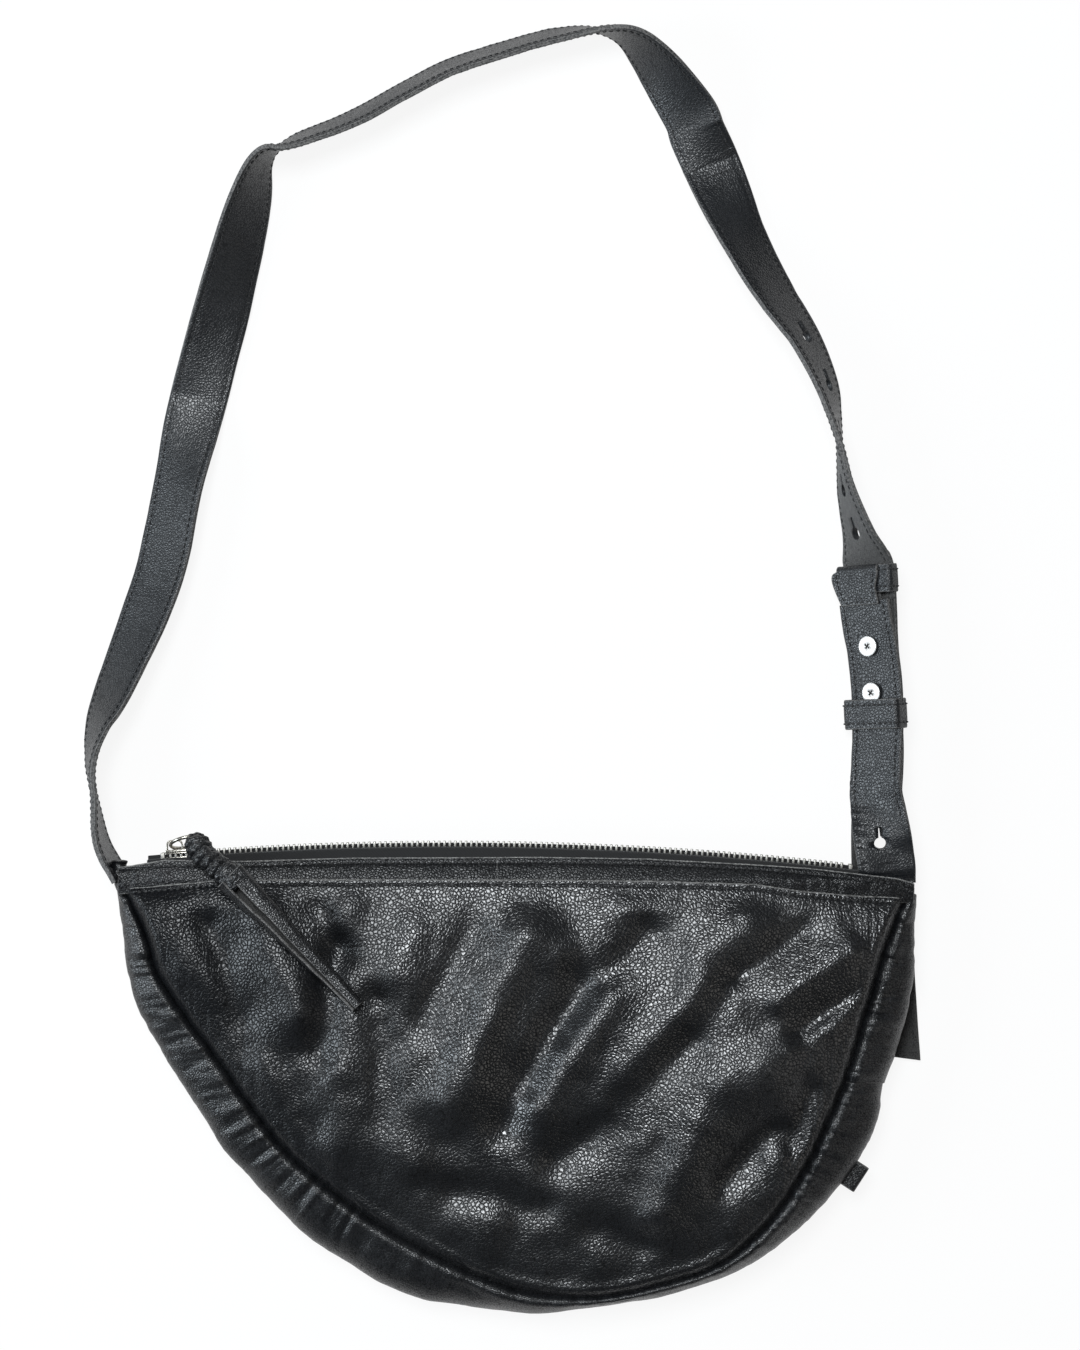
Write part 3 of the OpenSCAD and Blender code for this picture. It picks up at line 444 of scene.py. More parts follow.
def cloth(name, colour, threads, relief, shine):
    """Woven cloth from the piece's own map."""
    m, t, body, _ = surface(name)
    uv = node(t, "ShaderNodeUVMap", uv_map="along").outputs[0]
    warp, weft = (node(t, "ShaderNodeTexWave", wave_type="BANDS", bands_direction=way, Scale=scale,
                       Distortion=wobble, Detail=2.0, Vector=uv).outputs["Fac"]
                  for way, scale, wobble in (("DIAGONAL", threads, 1.5), ("Y", threads * 1.6, 1.0)))
    high = math_node(t, "MULTIPLY", warp, weft)
    bumps(t, body, high, relief)
    feed(t, body.inputs["Base Color"], mixed(t, high, shade(colour, 0.6), shade(colour, 1.5)))
    body.inputs["Roughness"].default_value = shine
    body.inputs["Sheen Weight"].default_value = 0.15
    return m


def metal(name, colour, shine, scratch):
    """Metal with fine marks in its colour, its shine and its height."""
    m, t, body, here = surface(name)
    marks = noise(t, 900.0, 4.0, here).outputs[0]
    bumps(t, body, marks, 0.00002)
    feed(t, body.inputs["Base Color"], mixed(t, marks, shade(colour, 0.82), shade(colour)))
    body.inputs["Metallic"].default_value = 1.0
    feed(t, body.inputs["Roughness"], range_node(t, marks, 0.3, 0.7, shine, shine + scratch))
    return m


BLACK = (0.0062, 0.0068, 0.008)
# The panel's reflection falls to 0.3 towards its left end: painted shade.
PANEL = leather("pebbled leather", BLACK, 560.0, 0.00014, 0.30, painted_left_shade=(-0.175, -0.04, 0.30, 1.0))
SIDE = leather("gusset leather", (0.0050, 0.0057, 0.0070), 820.0, 0.00012, 0.34, shine_level=0.78)
BAND = leather("band leather", (0.0048, 0.0054, 0.0064), 700.0, 0.00014, 0.36, shine_level=0.52)
STRAP = leather("strap leather", (0.0058, 0.0072, 0.0092), 700.0, 0.00011, 0.38, deep=0.6, shine_level=0.68)
BACKING = leather("leather backing", (0.016, 0.015, 0.014), 1400.0, 0.00022, 0.78, sheen=0.25)
# A light grey rod for the mouth's cut edges: partly the raw edge's own colour, partly a painted highlight
# along the edge.
EDGE_RAW_AND_HIGHLIGHT = leather("cut leather edge with painted highlight", (0.03, 0.03, 0.03), 2200.0, 0.0001, 0.7, raw=(0.30, 0.295, 0.285))
THREAD = cloth("black thread", (0.006, 0.006, 0.007), 900.0, 0.00005, 0.62)
TAPE = cloth("zip tape", (0.006, 0.006, 0.0065), 420.0, 0.00008, 0.85)
LINING = cloth("lining cloth", (0.012, 0.012, 0.014), 300.0, 0.00005, 0.8)
SILVER = metal("zip metal", (0.36, 0.35, 0.325), 0.36, 0.16)
# Near-black metal for the cut faces of the studs' crosses: painted shade in the recess.
RECESS_PAINTED_SHADE = metal("stud recess painted shade metal", (0.05, 0.05, 0.048), 0.5, 0.2)
BEIGE = metal("ring metal", (0.47, 0.45, 0.40), 0.2, 0.14)
STEEL = metal("stud metal", (0.95, 0.945, 0.93), 0.55, 0.14)
print("materials", len(bpy.data.materials))

# %% [markdown]
# ## Front panel
# One half moon of leather. It dips into the seam all round, swells in the middle, and has the soft
# ridges and hollows of a bag that was stuffed and then laid down. Each ridge is a line between two
# readings, with a half width in picture units and a height in millimetres; hollows have a minus sign.
# A row of stitches and the cut edge follow the mouth.

# %% Front panel
FRONT_SEAM = [[125, 894], [143, 930], [156, 972], [180, 1011], [210, 1051], [243, 1098], [280, 1146],
              [325, 1187], [380, 1226], [448, 1263], [520, 1291], [590, 1298], [655, 1287], [722, 1264],
              [775, 1217], [806, 1170], [828, 1125], [846, 1083], [860, 1038], [874, 992], [889, 942],
              [905, 900]]
WIDEST = [[116, 890], [122, 925], [130, 975], [146, 1018], [170, 1062], [204, 1115], [245, 1172],
          [296, 1225], [360, 1268], [435, 1299], [515, 1311], [595, 1307], [665, 1293], [735, 1270],
          [795, 1229], [838, 1182], [868, 1135], [884, 1083], [898, 1040], [908, 992], [911, 945],
          [914, 895]]
BACK_SEAM = [[150, 892], [153, 925], [163, 970], [180, 1010], [205, 1052], [238, 1100], [278, 1150],
             [325, 1195], [385, 1234], [455, 1262], [520, 1274], [590, 1270], [650, 1256], [705, 1232],
             [752, 1196], [785, 1155], [808, 1115], [820, 1078], [826, 1038], [829, 992], [829, 945],
             [828, 893]]
LOW_EDGE = [(110, 890), (122, 889), (212, 881), (280, 879.5), (540, 880), (647, 881), (754, 884),
            (808, 892), (861, 896), (912, 898), (925, 899)]
TOP_EDGE = [(110, 868), (131, 866), (165, 860.5), (235, 862), (257, 861.5), (352, 858.7), (540, 857.9),
            (647, 859.6), (754, 865.5), (808, 869), (861, 875), (899, 879), (914, 884)]
STEPS = len(FRONT_SEAM) - 1
SEWN_BELOW_PX = 5.2
CLOSER_AT_ENDS = 0.08

RIDGES = [(522, 938, 448, 1102, 24, 5.6), (472, 1072, 456, 1098, 24, 2.0), (578, 985, 505, 1125, 20, -5.2),
          (602, 998, 535, 1104, 20, 4.4), (548, 933, 556, 953, 22, 2.6), (650, 930, 565, 1030, 18, -3.2),
          (690, 1042, 560, 1160, 21, -4.8), (700, 985, 612, 1105, 20, 3.2), (765, 1072, 728, 1086, 34, 5.6),
          (702, 1128, 662, 1212, 24, 5.2), (772, 1130, 724, 1182, 17, -5.0), (806, 1090, 792, 1142, 15, -3.2),
          (800, 1182, 742, 1232, 16, 2.4), (262, 922, 300, 1012, 22, 5.4), (212, 930, 250, 1040, 18, -4.2),
          (334, 950, 318, 1050, 18, -4.0), (340, 1075, 335, 1150, 20, 3.2), (378, 1000, 386, 1120, 19, -2.6),
          (413, 932, 400, 975, 23, 3.2), (350, 900, 345, 920, 20, 3.0), (470, 930, 420, 1020, 15, -2.4),
          (190, 930, 175, 985, 14, 0.8), (148, 892, 262, 890, 27, 3.2), (318, 905, 345, 955, 15, -2.6),
          (492, 1222, 480, 1254, 22, 3.2), (425, 1188, 545, 1206, 18, -3.2), (592, 1228, 640, 1242, 18, -2.4),
          (398, 1128, 424, 1188, 22, 2.4), (745, 925, 702, 955, 24, 3.8), (802, 935, 742, 975, 14, -3.0),
          (850, 950, 780, 1000, 15, 3.6), (866, 985, 800, 1032, 12, -2.6), (850, 1012, 792, 1050, 12, 2.0),
          (612, 905, 690, 915, 20, 1.8), (250, 1040, 300, 1150, 15, 2.2)]


def seam_share(s):
    """0 at both ends of the seam and 1 in its middle."""
    return np.sqrt(np.clip(np.sin(np.pi * s / STEPS), 0, 1))


def front_z(s):
    """Height of the front seam at a step."""
    return CORNER_FRONT_Z + (SEAM_Z - CORNER_FRONT_Z) * seam_share(s)


def widest_z(s):
    """Height of the gusset's widest line at a step."""
    low = CORNER_FRONT_Z - 0.0028
    return low + (WIDEST_Z - low) * seam_share(s)


def to_segment(px, py, x0, y0, x1, y1):
    """Distance from a reading to a line between two others."""
    dx, dy = x1 - x0, y1 - y0
    t = np.clip(((px - x0) * dx + (py - y0) * dy) / (dx * dx + dy * dy), 0, 1)
    return np.hypot(px - x0 - t * dx, py - y0 - t * dy)


def edge_at(rows, px):
    """Reading down the picture of a line of readings, at a reading across."""
    rows = np.array(rows, float)
    return np.interp(px, rows[:, 0], rows[:, 1])


def mouth_z(x):
    """Height of the mouth's lower line: level in the middle, lower in the corners."""
    far = np.minimum(1, np.abs(x) / (BAG_W / 2)) ** 4
    return MOUTH_Z + (CORNER_FRONT_Z - MOUTH_Z) * far


def to_rim(px, py):
    """Distance from a reading to the front seam."""
    rim = curve(FRONT_SEAM, np.linspace(0, STEPS, 260))
    best = np.full(px.shape, 1e9)
    for k in range(len(rim) - 1):
        best = np.minimum(best, to_segment(px, py, *rim[k], *rim[k + 1]))
    return best


def panel_height(px, py, s, v):
    """Height above the floor of the front panel at a reading."""
    x = (px - BAG_MID_PX) * BAG_W / BAG_W_PX
    base = front_z(s) + (mouth_z(x) + 0.0012 - front_z(s)) * v
    swell = CROWN * 4 * v * (1 - v) * seam_share(s)
    near_rim, near_mouth = to_rim(px, py), py - edge_at(LOW_EDGE, px)
    relief = np.zeros_like(px)
    for x0, y0, x1, y1, w, h in RIDGES:
        relief += h * np.exp(-(to_segment(px, py, x0, y0, x1, y1) / w) ** 2)
    tilt = (px + py * 0.55, py - px * 0.55)
    relief += 1.3 * rough(tilt[0] / 62, tilt[1] / 80, 3) + 0.75 * rough(tilt[0] / 27, tilt[1] / 36, 5)
    relief += 0.22 * rough(px / 11, py / 13, 7)
    fade = smooth(near_rim / 30) * smooth(near_mouth / 34)
    pleats = rough(s * 9.0, near_rim / 26, 11) * 0.5 * np.exp(-near_rim / 20) * smooth(near_rim / 5)
    bead = 0.0009 * np.exp(-((near_rim - 9) / 6) ** 2)
    groove = 0.0042 * np.exp(-(near_rim / 5.2) ** 2)
    rise = 0.0004 * rough(s * 14, 0.5 + 0 * s, 13) * np.exp(-near_mouth / 9)
    sewn = 0.0005 * np.exp(-((near_mouth - SEWN_BELOW_PX) / 1.5) ** 2)
    return base + swell + (relief * fade + pleats) * 0.001 + bead - groove + rise - sewn


def panel_grid(columns, rows, inset=0.0):
    """The front panel from its seam, moved in by an inset, up to the mouth. Rows lie closer at both ends."""
    s = np.linspace(0, STEPS, columns)
    rim = curve(FRONT_SEAM, s)
    way = unit(np.gradient(rim, axis=0))
    rim = rim + np.stack([way[:, 1], -way[:, 0]], -1) * inset
    px = np.repeat(rim[:, :1], rows, 1)
    top = np.minimum(edge_at(LOW_EDGE, rim[:, 0]), rim[:, 1] - 3)
    v = np.linspace(0, 1, rows)[None, :]
    v = v - CLOSER_AT_ENDS * np.sin(2 * np.pi * v)
    py = rim[:, 1:2] * (1 - v) + top[:, None] * v
    ss = np.repeat(s[:, None], rows, 1)
    return place(px, py, panel_height(px, py, ss, v * np.ones_like(px)))


panel = Piece("front_panel_leather")
leather_sheet(panel, panel_grid(421, 190), LEATHER, mat=0, inside=1, edge_mat=0)


SEAM_AT = np.linspace(0, STEPS, 600)
SEAM_LINE = curve(FRONT_SEAM, SEAM_AT)


def panel_top(px, py):
    """Height above the floor of the front panel at any reading on it."""
    px, py = np.asarray(px, float), np.asarray(py, float)
    s = np.interp(px, SEAM_LINE[:, 0], SEAM_AT)
    low, top = np.interp(px, SEAM_LINE[:, 0], SEAM_LINE[:, 1]), edge_at(LOW_EDGE, px)
    return panel_height(px, py, s, np.clip((low - py) / (low - top), 0, 1))


UP = np.array([0.0, 0.0, 1.0])
ON_PANEL = LEATHER / 2 - 0.0001
px = np.linspace(136, 902, 700)
py = edge_at(LOW_EDGE, px) + SEWN_BELOW_PX
thread(panel, place(px, py, panel_top(px, py) + ON_PANEL), UP, wide=0.0005, mat=2)
px = np.linspace(127, 908, 700)
py = edge_at(LOW_EDGE, px) + 0.35 + 0.35 * rough(px / 9, 0 * px, 15)
cut_line = place(px, py, panel_top(px, py + 0.6) + ON_PANEL)
# The cut edge's rod is light grey: raw edge colour and a painted highlight.
tube(panel, cut_line, 0.00036 + 0.00008 * rough(px / 5, 0 * px, 16), sides=8, mat=3, edge=1.0)
front_panel = panel.make([PANEL, BACKING, THREAD, EDGE_RAW_AND_HIGHLIGHT], "grain_leather")
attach(front_panel, "bag")
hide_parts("front_panel")
print("front panel", len(front_panel.data.polygons))

# %% [markdown]
# ## Gusset and back panel
# The gusset turns out of the seam, over its widest line and down to the back seam. Sewing round the curve
# gathers it into many small wrinkles across its length. It is two lengths, joined near the right corner.

# %% Gusset and back panel
JOINT_STEP = 17.08
BACK_Z = 0.0011


def gusset_grid(s, turns, lift=0.0, wrinkled=True):
    """The gusset from the front seam over its widest line to the back seam, at steps along the seams."""
    f, w, b = curve(FRONT_SEAM, s), curve(WIDEST, s), curve(BACK_SEAM, s)
    fz, wz = front_z(s), widest_z(s)
    front_n = int(turns * 0.62)
    a = np.linspace(0, np.pi / 2, front_n)
    over = f[:, None] + (w - f)[:, None] * np.sin(a)[None, :, None]
    front = place(over[..., 0], over[..., 1], wz[:, None] + (fz - wz)[:, None] * np.cos(a)[None, :] ** 0.8)
    deep = np.linalg.norm(front - front[:, :1], axis=-1)
    front[..., 2] -= 0.0046 * np.exp(-(deep / 0.0013) ** 1.5)
    front[..., 2] += 0.0009 * np.exp(-((deep - 0.0042) / 0.0026) ** 2)
    c = np.linspace(0, np.pi / 2, turns - front_n + 1)[1:]
    under = b[:, None] + (w - b)[:, None] * np.cos(c)[None, :, None]
    back = place(under[..., 0], under[..., 1],
                 BACK_Z + (wz[:, None] - BACK_Z) * (1 - np.sin(c)[None, :] ** 1.4))
    grid = np.concatenate([front, back], 1)
    out = -normals(grid)
    if wrinkled:
        t = np.linspace(0, 1, grid.shape[1])[None, :]
        mid = grid[:, front_n // 2]
        run = run_of(mid)[:, None]
        strong = 0.35 + 0.65 * smooth((np.abs(s - 10.5)[:, None] - 1.5) / 3)
        hug = np.exp(-((t - 0.16) / 0.2) ** 2) + 0.25
        fold = rough(run / 0.0021, t * 2.2, 21) * 0.55 + rough(run / 0.0045, t * 1.6, 23)
        slow = rough(run / 0.02, t * 2.0, 25)
        grid = grid + out * ((fold * 0.00085 * hug * strong + slow * 0.0014 * np.sin(np.pi * t)))[..., None]
    return (grid - normals(grid) * lift)[:, ::-1]


side = Piece("gusset_leather")
long_way = gusset_grid(np.linspace(0, JOINT_STEP, 620), 46)
leather_sheet(side, long_way, LEATHER, mat=0, inside=1)
gusset = side.make([SIDE, BACKING], "grain_leather")
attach(gusset, "bag")
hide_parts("gusset")

end = Piece("gusset_end_leather")
short_way = gusset_grid(np.linspace(JOINT_STEP - 0.06, STEPS, 170), 46, lift=0.0006)
leather_sheet(end, short_way, LEATHER, mat=0, inside=1)
across = short_way[2, 12:42]
thread(end, across, normals(short_way)[2, 12:42], pitch=0.0028, long=0.0019, wide=0.00035, mat=2)
gusset_end = end.make([SIDE, BACKING, THREAD], "grain_leather")
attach(gusset_end, "bag")
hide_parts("gusset_end")

back = Piece("back_panel_leather")
seam = curve(BACK_SEAM, np.linspace(0, STEPS, 241))
ring = place(seam[:, 0], seam[:, 1], 0.0)
top_y = SEAM_Y - 0.0016
v = np.linspace(0, 1, 70)[None, :, None]
straight = np.stack([ring[:, 0], np.full(len(ring), top_y), ring[:, 2]], -1)
flat = ring[:, None] * (1 - v) + straight[:, None] * v
flat[..., 1] = np.minimum(flat[..., 1], top_y)
ripple = 0.0006 * np.abs(rough(flat[..., 0] / 0.03, flat[..., 1] / 0.04, 31)) * np.sin(np.pi * v[..., 0])
flat[..., 2] = LEATHER / 2 + 0.0001 + ripple
leather_sheet(back, flat[::-1], LEATHER, mat=0, inside=1)
back_panel = back.make([PANEL, BACKING], "grain_leather")
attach(back_panel, "bag")
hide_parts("back_panel")
print("gusset", len(gusset.data.polygons), "back panel", len(back_panel.data.polygons))

# %% [markdown]
# ## Mouth: bands, tapes and teeth
# The front panel's cut edge lies on the front band, and the band's cut edge lies on the zip tape. Each band
# and tape is made in a left and a right half, and both halves stay where they are made.

# %% Mouth
EYE_BEND = 0.085
MIDDLE_PX, BAND_PX = 497.0, 860.0
LEFT_BEND = ((LIP_LEFT, SEAM_Y, CHAIN_Z), (LIP_LEFT + EYE_BEND, SEAM_Y, CHAIN_Z))
RIGHT_BEND = ((LIP_RIGHT, SEAM_Y, CHAIN_Z), (LIP_RIGHT - EYE_BEND, SEAM_Y, CHAIN_Z))
HALVES = {"left": (118.0, MIDDLE_PX, LEFT_BEND), "right": (MIDDLE_PX, 914.0, RIGHT_BEND)}
TAPE_STAND = 0.006


def x_of(px, z=0.03):
    """Distance across the bag of a reading near the mouth."""
    return place(px, BAND_PX, z)[..., 0]


def front_height(x, y):
    """Height of the front band between its lower line and the zip."""
    low = mouth_z(x)
    v = np.clip((y - SEAM_Y) / (arc_y(x) - SEAM_Y), 0, 1.1)
    return low + (CHAIN_Z + TAPE_STAND - low) * v


def back_height(x, y):
    """Height of the back band between its hinge line and the zip."""
    far = np.minimum(1, np.abs(x) / (BAG_W / 2)) ** 4
    low = BACK_HINGE_Z + (CORNER_BACK_Z - BACK_HINGE_Z) * far
    v = np.clip((y - SEAM_Y) / (arc_y(x) - SEAM_Y), 0, 1.1)
    return low + (CHAIN_Z - TAPE_STAND - low) * v


def bend(piece):
    """Bakes a half's placement into its points; it stays where it is made."""
    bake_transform(piece)


def front_band(half):
    """Half of the front band, with crinkles towards both corners."""
    px = np.linspace(*HALVES[half][:2], 300)
    v = np.linspace(0, 1, 22)[None, :]
    low, top = edge_at(LOW_EDGE, px) + 4.5, edge_at(TOP_EDGE, px)
    py = low[:, None] * (1 - v) + top[:, None] * v
    pxs = px[:, None] * np.ones_like(v)
    here = place(pxs, py, 0.03)
    z = front_height(here[..., 0], here[..., 1]) + 0.0006
    tight = smooth((pxs - 690) / 110) + 0.6 * smooth((225 - pxs) / 60)
    crinkle = rough(pxs / 6.5, v * 2.4, 41) * 0.45 * tight + 0.3 * rough(pxs / 26, v * 1.5, 43)
    hump = np.sin(np.pi * v)
    z = z + 0.001 * crinkle * hump + 0.0005 * hump + 0.00035 * rough(pxs / 30, 0 * v, 44)
    z = z - 0.0005 * np.exp(-((v - 0.8) / 0.06) ** 2)
    return place(pxs, py, z)


def back_band(half):
    """Half of the back band."""
    px = np.linspace(*HALVES[half][:2], 120)
    x = x_of(px, 0.005)[:, None]
    v = np.linspace(0, 1, 14)[None, :]
    y = SEAM_Y - 0.0004 + (arc_y(x) - SEAM_Y) * 0.6 * v
    z = back_height(x, y) + 0.0003 * rough(x / 0.006 + 0 * v, v * 2, 45) * np.sin(np.pi * v)
    return grid_of(x, y, z)


for half in HALVES:
    band = Piece(f"front_band_{half}_leather")
    g = front_band(half)
    leather_sheet(band, g, 0.0014, mat=0, inside=1)
    n = normals(g)
    thread(band, g[:, 17] + n[:, 17] * 0.0008, n[:, 17], wide=0.0005, mat=2)
    # The band's cut edge rod is light grey: raw edge colour and a painted highlight.
    tube(band, g[:, 21] + n[:, 21] * 0.0006, 0.00036, sides=8, mat=3, edge=1.0)
    shown = band.make([BAND, BACKING, THREAD, EDGE_RAW_AND_HIGHLIGHT], "grain_leather")
    bend(shown)
    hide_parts(*(["front_band", "front_band_left"] if half == "left" else ["front_band_right"]))

    band = Piece(f"back_band_{half}_leather")
    g = back_band(half)[::-1]
    leather_sheet(band, g, 0.0014, mat=0, inside=1)
    n = normals(g)
    thread(band, g[:, 12] + n[:, 12] * 0.0008, n[:, 12], mat=2)
    thread(band, g[:, 2] + n[:, 2] * 0.0008, n[:, 2], mat=2)
    shown = band.make([SIDE, BACKING, THREAD], "grain_leather")
    bend(shown)
    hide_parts(*(["back_band", "back_band_left"] if half == "left" else ["back_band_right"]))
print("bands done")

# %% Zip tapes
CHAIN_FROM, CHAIN_TO = ZIP_TOP[0] - 0.1515, ZIP_TOP[0] + 0.2045


def tape_grid(half, side):
    """Half of a zip tape, turned up along the teeth; side is 1 for the front."""
    x0 = CHAIN_FROM if half == "left" else x_of(MIDDLE_PX)
    x1 = x_of(MIDDLE_PX) if half == "left" else CHAIN_TO
    x = np.linspace(x0, x1, 240)[:, None]
    v = np.concatenate([np.linspace(0.4, 1, 12), np.ones(5)])[None, :]
    turn = np.concatenate([np.zeros(12), [0.25, 0.5, 0.75, 0.9, 1.0]])[None, :]
    short = 0.0014 if side > 0 else 0.0002
    y = SEAM_Y + np.maximum(arc_y(x) - SEAM_Y - short, 0.0008) * v
    high = front_height(x, y) if side > 0 else back_height(x, y)
    end_z = CHAIN_Z + side * 0.0022
    z = high + (end_z - high) * np.minimum(1, turn * 2.2)
    y = y + (arc_y(x) + (0.0008 if side > 0 else 0.0) - y) * np.clip((turn - 0.4) / 0.6, 0, 1)
    g = grid_of(x, y, z)
    return g if side > 0 else g[::-1]


for half in HALVES:
    for side, lip, word in ((1, "front_lip", "front"), (-1, "back_lip", "back")):
        strip = Piece(f"{word}_tape_{half}_woven")
        leather_sheet(strip, tape_grid(half, side), 0.0007, mat=0)
        shown = strip.make([TAPE], "zip_tape")
        bend(shown)
        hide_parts(*([f"{word}_tape", f"{word}_tape_ends"] if half == "left" else []))

# %% [markdown]
# ## Teeth
# Each tooth is pressed round the tape's cord edge and has a narrower head that meets the teeth of the other
# side. The two rows stand half a pitch apart on one long arc.

# %% Teeth
PITCH = 0.0027
FIRST_TOOTH, END_TOOTH, HALF_ARC = -52, 74, 0.024
STOPS_ARC, END_STOP_ARC = -0.1443, 0.2017


def on_zip(points, arc):
    """Points of a part of the zip, moved to a distance along the zip's arc."""
    a = -arc / ARC_R
    p = np.asarray(points, float)
    r = ARC_R + p[..., 1]
    return np.stack([ZIP_TOP[0] + p[..., 0] * math.cos(a) - r * math.sin(a),
                     ZIP_TOP[1] - ARC_R + p[..., 0] * math.sin(a) + r * math.cos(a), CHAIN_Z + p[..., 2]], -1)


def soft_box(size, middle=(0, 0, 0), round_by=0.0002, segments=2):
    """Points and faces of a box with rounded edges."""
    bm = bmesh.new()
    bmesh.ops.create_cube(bm, size=1.0)
    bmesh.ops.scale(bm, vec=size, verts=bm.verts[:])
    bmesh.ops.bevel(bm, geom=bm.edges[:], offset=round_by, segments=segments, profile=0.6, affect="EDGES")
    bmesh.ops.translate(bm, vec=middle, verts=bm.verts[:])
    bm.verts.ensure_lookup_table()
    points = np.array([v.co[:] for v in bm.verts])
    faces = [tuple(v.index for v in f.verts) for f in bm.faces]
    bm.free()
    return points, faces


def tooth(side):
    """Body round the tape, and a head that reaches past the middle of the chain."""
    high, out = (0.0031, 0.00045) if side > 0 else (0.0022, -0.0003)
    a, fa = soft_box((0.00128, high, 0.0026), (0, out, side * 0.0023), 0.0003)
    b, fb = soft_box((0.00118, 0.0019, 0.0022), (0, 0, side * 0.0004), 0.00024)
    return np.concatenate([a, b]), fa + [tuple(k + len(a) for k in f) for f in fb]


for side, lip, word in ((1, "front_lip", "front"), (-1, "back_lip", "back")):
    shape, shape_faces = tooth(side)
    shift = 0.0 if side > 0 else PITCH / 2
    halves = {"left": Piece(f"{word}_teeth_left_metal"), "right": Piece(f"{word}_teeth_right_metal")}
    for k in range(FIRST_TOOTH, END_TOOTH):
        arc = k * PITCH + shift
        halves["left" if arc < HALF_ARC else "right"].add(on_zip(shape, arc), shape_faces)
    for half, row in halves.items():
        shown = row.make([SILVER], "zip_metal")
        bend(shown)
        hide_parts(*([f"{word}_teeth", f"{word}_teeth_ends"] if half == "left" else []))

stops = Piece("zip_stops_metal")
for side in (1, -1):
    p, f = soft_box((0.0022, 0.0034, 0.0030), (0, 0, side * 0.0019), 0.0004, 3)
    stops.add(on_zip(p, STOPS_ARC), f)
p, f = soft_box((0.0020, 0.0032, 0.0060), (0, 0, 0), 0.0004, 3)
stops.add(on_zip(p, END_STOP_ARC), f)
shown = stops.make([SILVER], "zip_metal")
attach(shown, "bag")
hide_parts("zip_stops")
print("zip rows done")

# %% [markdown]
# ## Lining
# The lining isn't seen in the picture; it is a guess: plain dark cloth sewn in just inside the leather.

# %% Lining
GUSSET_LINING = gusset_grid(np.linspace(1.6, STEPS - 1.6, 180), 24, wrinkled=False)
for name, g, node_name in (("front_lining_cloth", panel_grid(150, 60, inset=14.0), "front_lining"),
                           ("gusset_lining_cloth", GUSSET_LINING, "gusset_lining")):
    piece = Piece(name)
    leather_sheet(piece, g, 0.0005, mat=0, lift=-0.0030)
    shown = piece.make([LINING], "lining")
    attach(shown, "bag")
    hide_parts(node_name)
piece = Piece("back_lining_cloth")
g = flat[::-1][::3, ::3].copy()
middle = np.array([0.0, 0.02, 0])
g[..., :2] = middle[:2] + (g[..., :2] - middle[:2]) * np.array([0.95, 0.93])
g[..., 2] = 0.0030 + 0.0006 * rough(g[..., 0] / 0.02, g[..., 1] / 0.03, 51)
leather_sheet(piece, g, 0.0005, mat=0)
shown = piece.make([LINING], "lining")
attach(shown, "bag")
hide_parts("back_lining")
print("lining done")

# %% [markdown]
# ## Slider, ring and pull
# The slider is parked at the closed end. Its bridge holds a wire ring that leans forwards, and the leather
# pull is drawn round the ring, gathered into small folds, and ends in a strip folded lengthwise.

# %% Slider and ring
SLIDER_ARC = -0.1374
RING_R, RING_WIRE = 0.0082, 0.0009
RING_LEAN, RING_ROLL = math.radians(9), math.radians(20)
BAIL_X, BAIL_Y = -0.0029, 0.00475


def slider_plate(name, side):
    """A plate with a low wall along both edges; side is 1 above the teeth and -1 below them."""
    plate = Piece(name)
    for size, y, z in (((0.0112, 0.0013, 0.0096), 0.0021, 0.0), ((0.0110, 0.0009, 0.0009), 0.0011, 0.00435),
                       ((0.0110, 0.0009, 0.0009), 0.0011, -0.00435)):
        p, f = soft_box(size, (0, side * y, z), 0.0004, 3)
        p[:, 2] *= 1 - 0.28 * smooth((-p[:, 0] - 0.0005) / 0.006)
        plate.add(on_zip(p, SLIDER_ARC), f)
    return plate.make([BEIGE], "zip_metal")


slider_top = slider_plate("slider_top_metal", 1)
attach(slider_top, "slider")
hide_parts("slider_top")

shown = slider_plate("slider_underplate_metal", -1)
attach(shown, "slider")
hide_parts("slider_underplate")

bridge = Piece("slider_bridge_metal")
x0, x1, y0, y1, r = -0.00465, 0.00275, 0.0024, 0.00725, 0.0019
a = np.linspace(np.pi, np.pi / 2, 12)
left = np.stack([x0 + r + r * np.cos(a), y1 - r + r * np.sin(a)], -1)
right = np.stack([x1 - r - r * np.cos(a[::-1]), y1 - r + r * np.sin(a[::-1])], -1)
arch = np.concatenate([[[x0 - 0.0002, y0], [x0 - 0.0001, (y0 + y1) / 2]], left, right,
                       [[x1 + 0.0001, (y0 + y1) / 2], [x1 + 0.0002, y0]]])
run = run_of(arch)
even = np.linspace(0, run[-1], 60)
arch = np.stack([np.interp(even, run, arch[:, 0]), np.interp(even, run, arch[:, 1]), 0 * even], -1)
g = tube(bridge, arch, 0.0005, sides=20, up=(0, 0, 1), squash=2.5)
bridge.points[-1] = on_zip(g.reshape(-1, 3), SLIDER_ARC)
shown = bridge.make([BEIGE], "zip_metal")
face_away(shown)
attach(shown, "slider")
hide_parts("slider_bridge")


def on_ring(points):
    """Points of the ring, hung in the slider's bridge and leaned forwards."""
    p = np.asarray(points, float)
    c, s = math.sin(RING_ROLL), math.cos(RING_ROLL)
    x, y, z = p[..., 0] + RING_R, p[..., 1] * c - p[..., 2] * s, p[..., 1] * s + p[..., 2] * c
    c, s = math.cos(RING_LEAN), math.sin(RING_LEAN)
    return on_zip(np.stack([BAIL_X + x * c - y * s, BAIL_Y + x * s + y * c, z], -1), SLIDER_ARC)


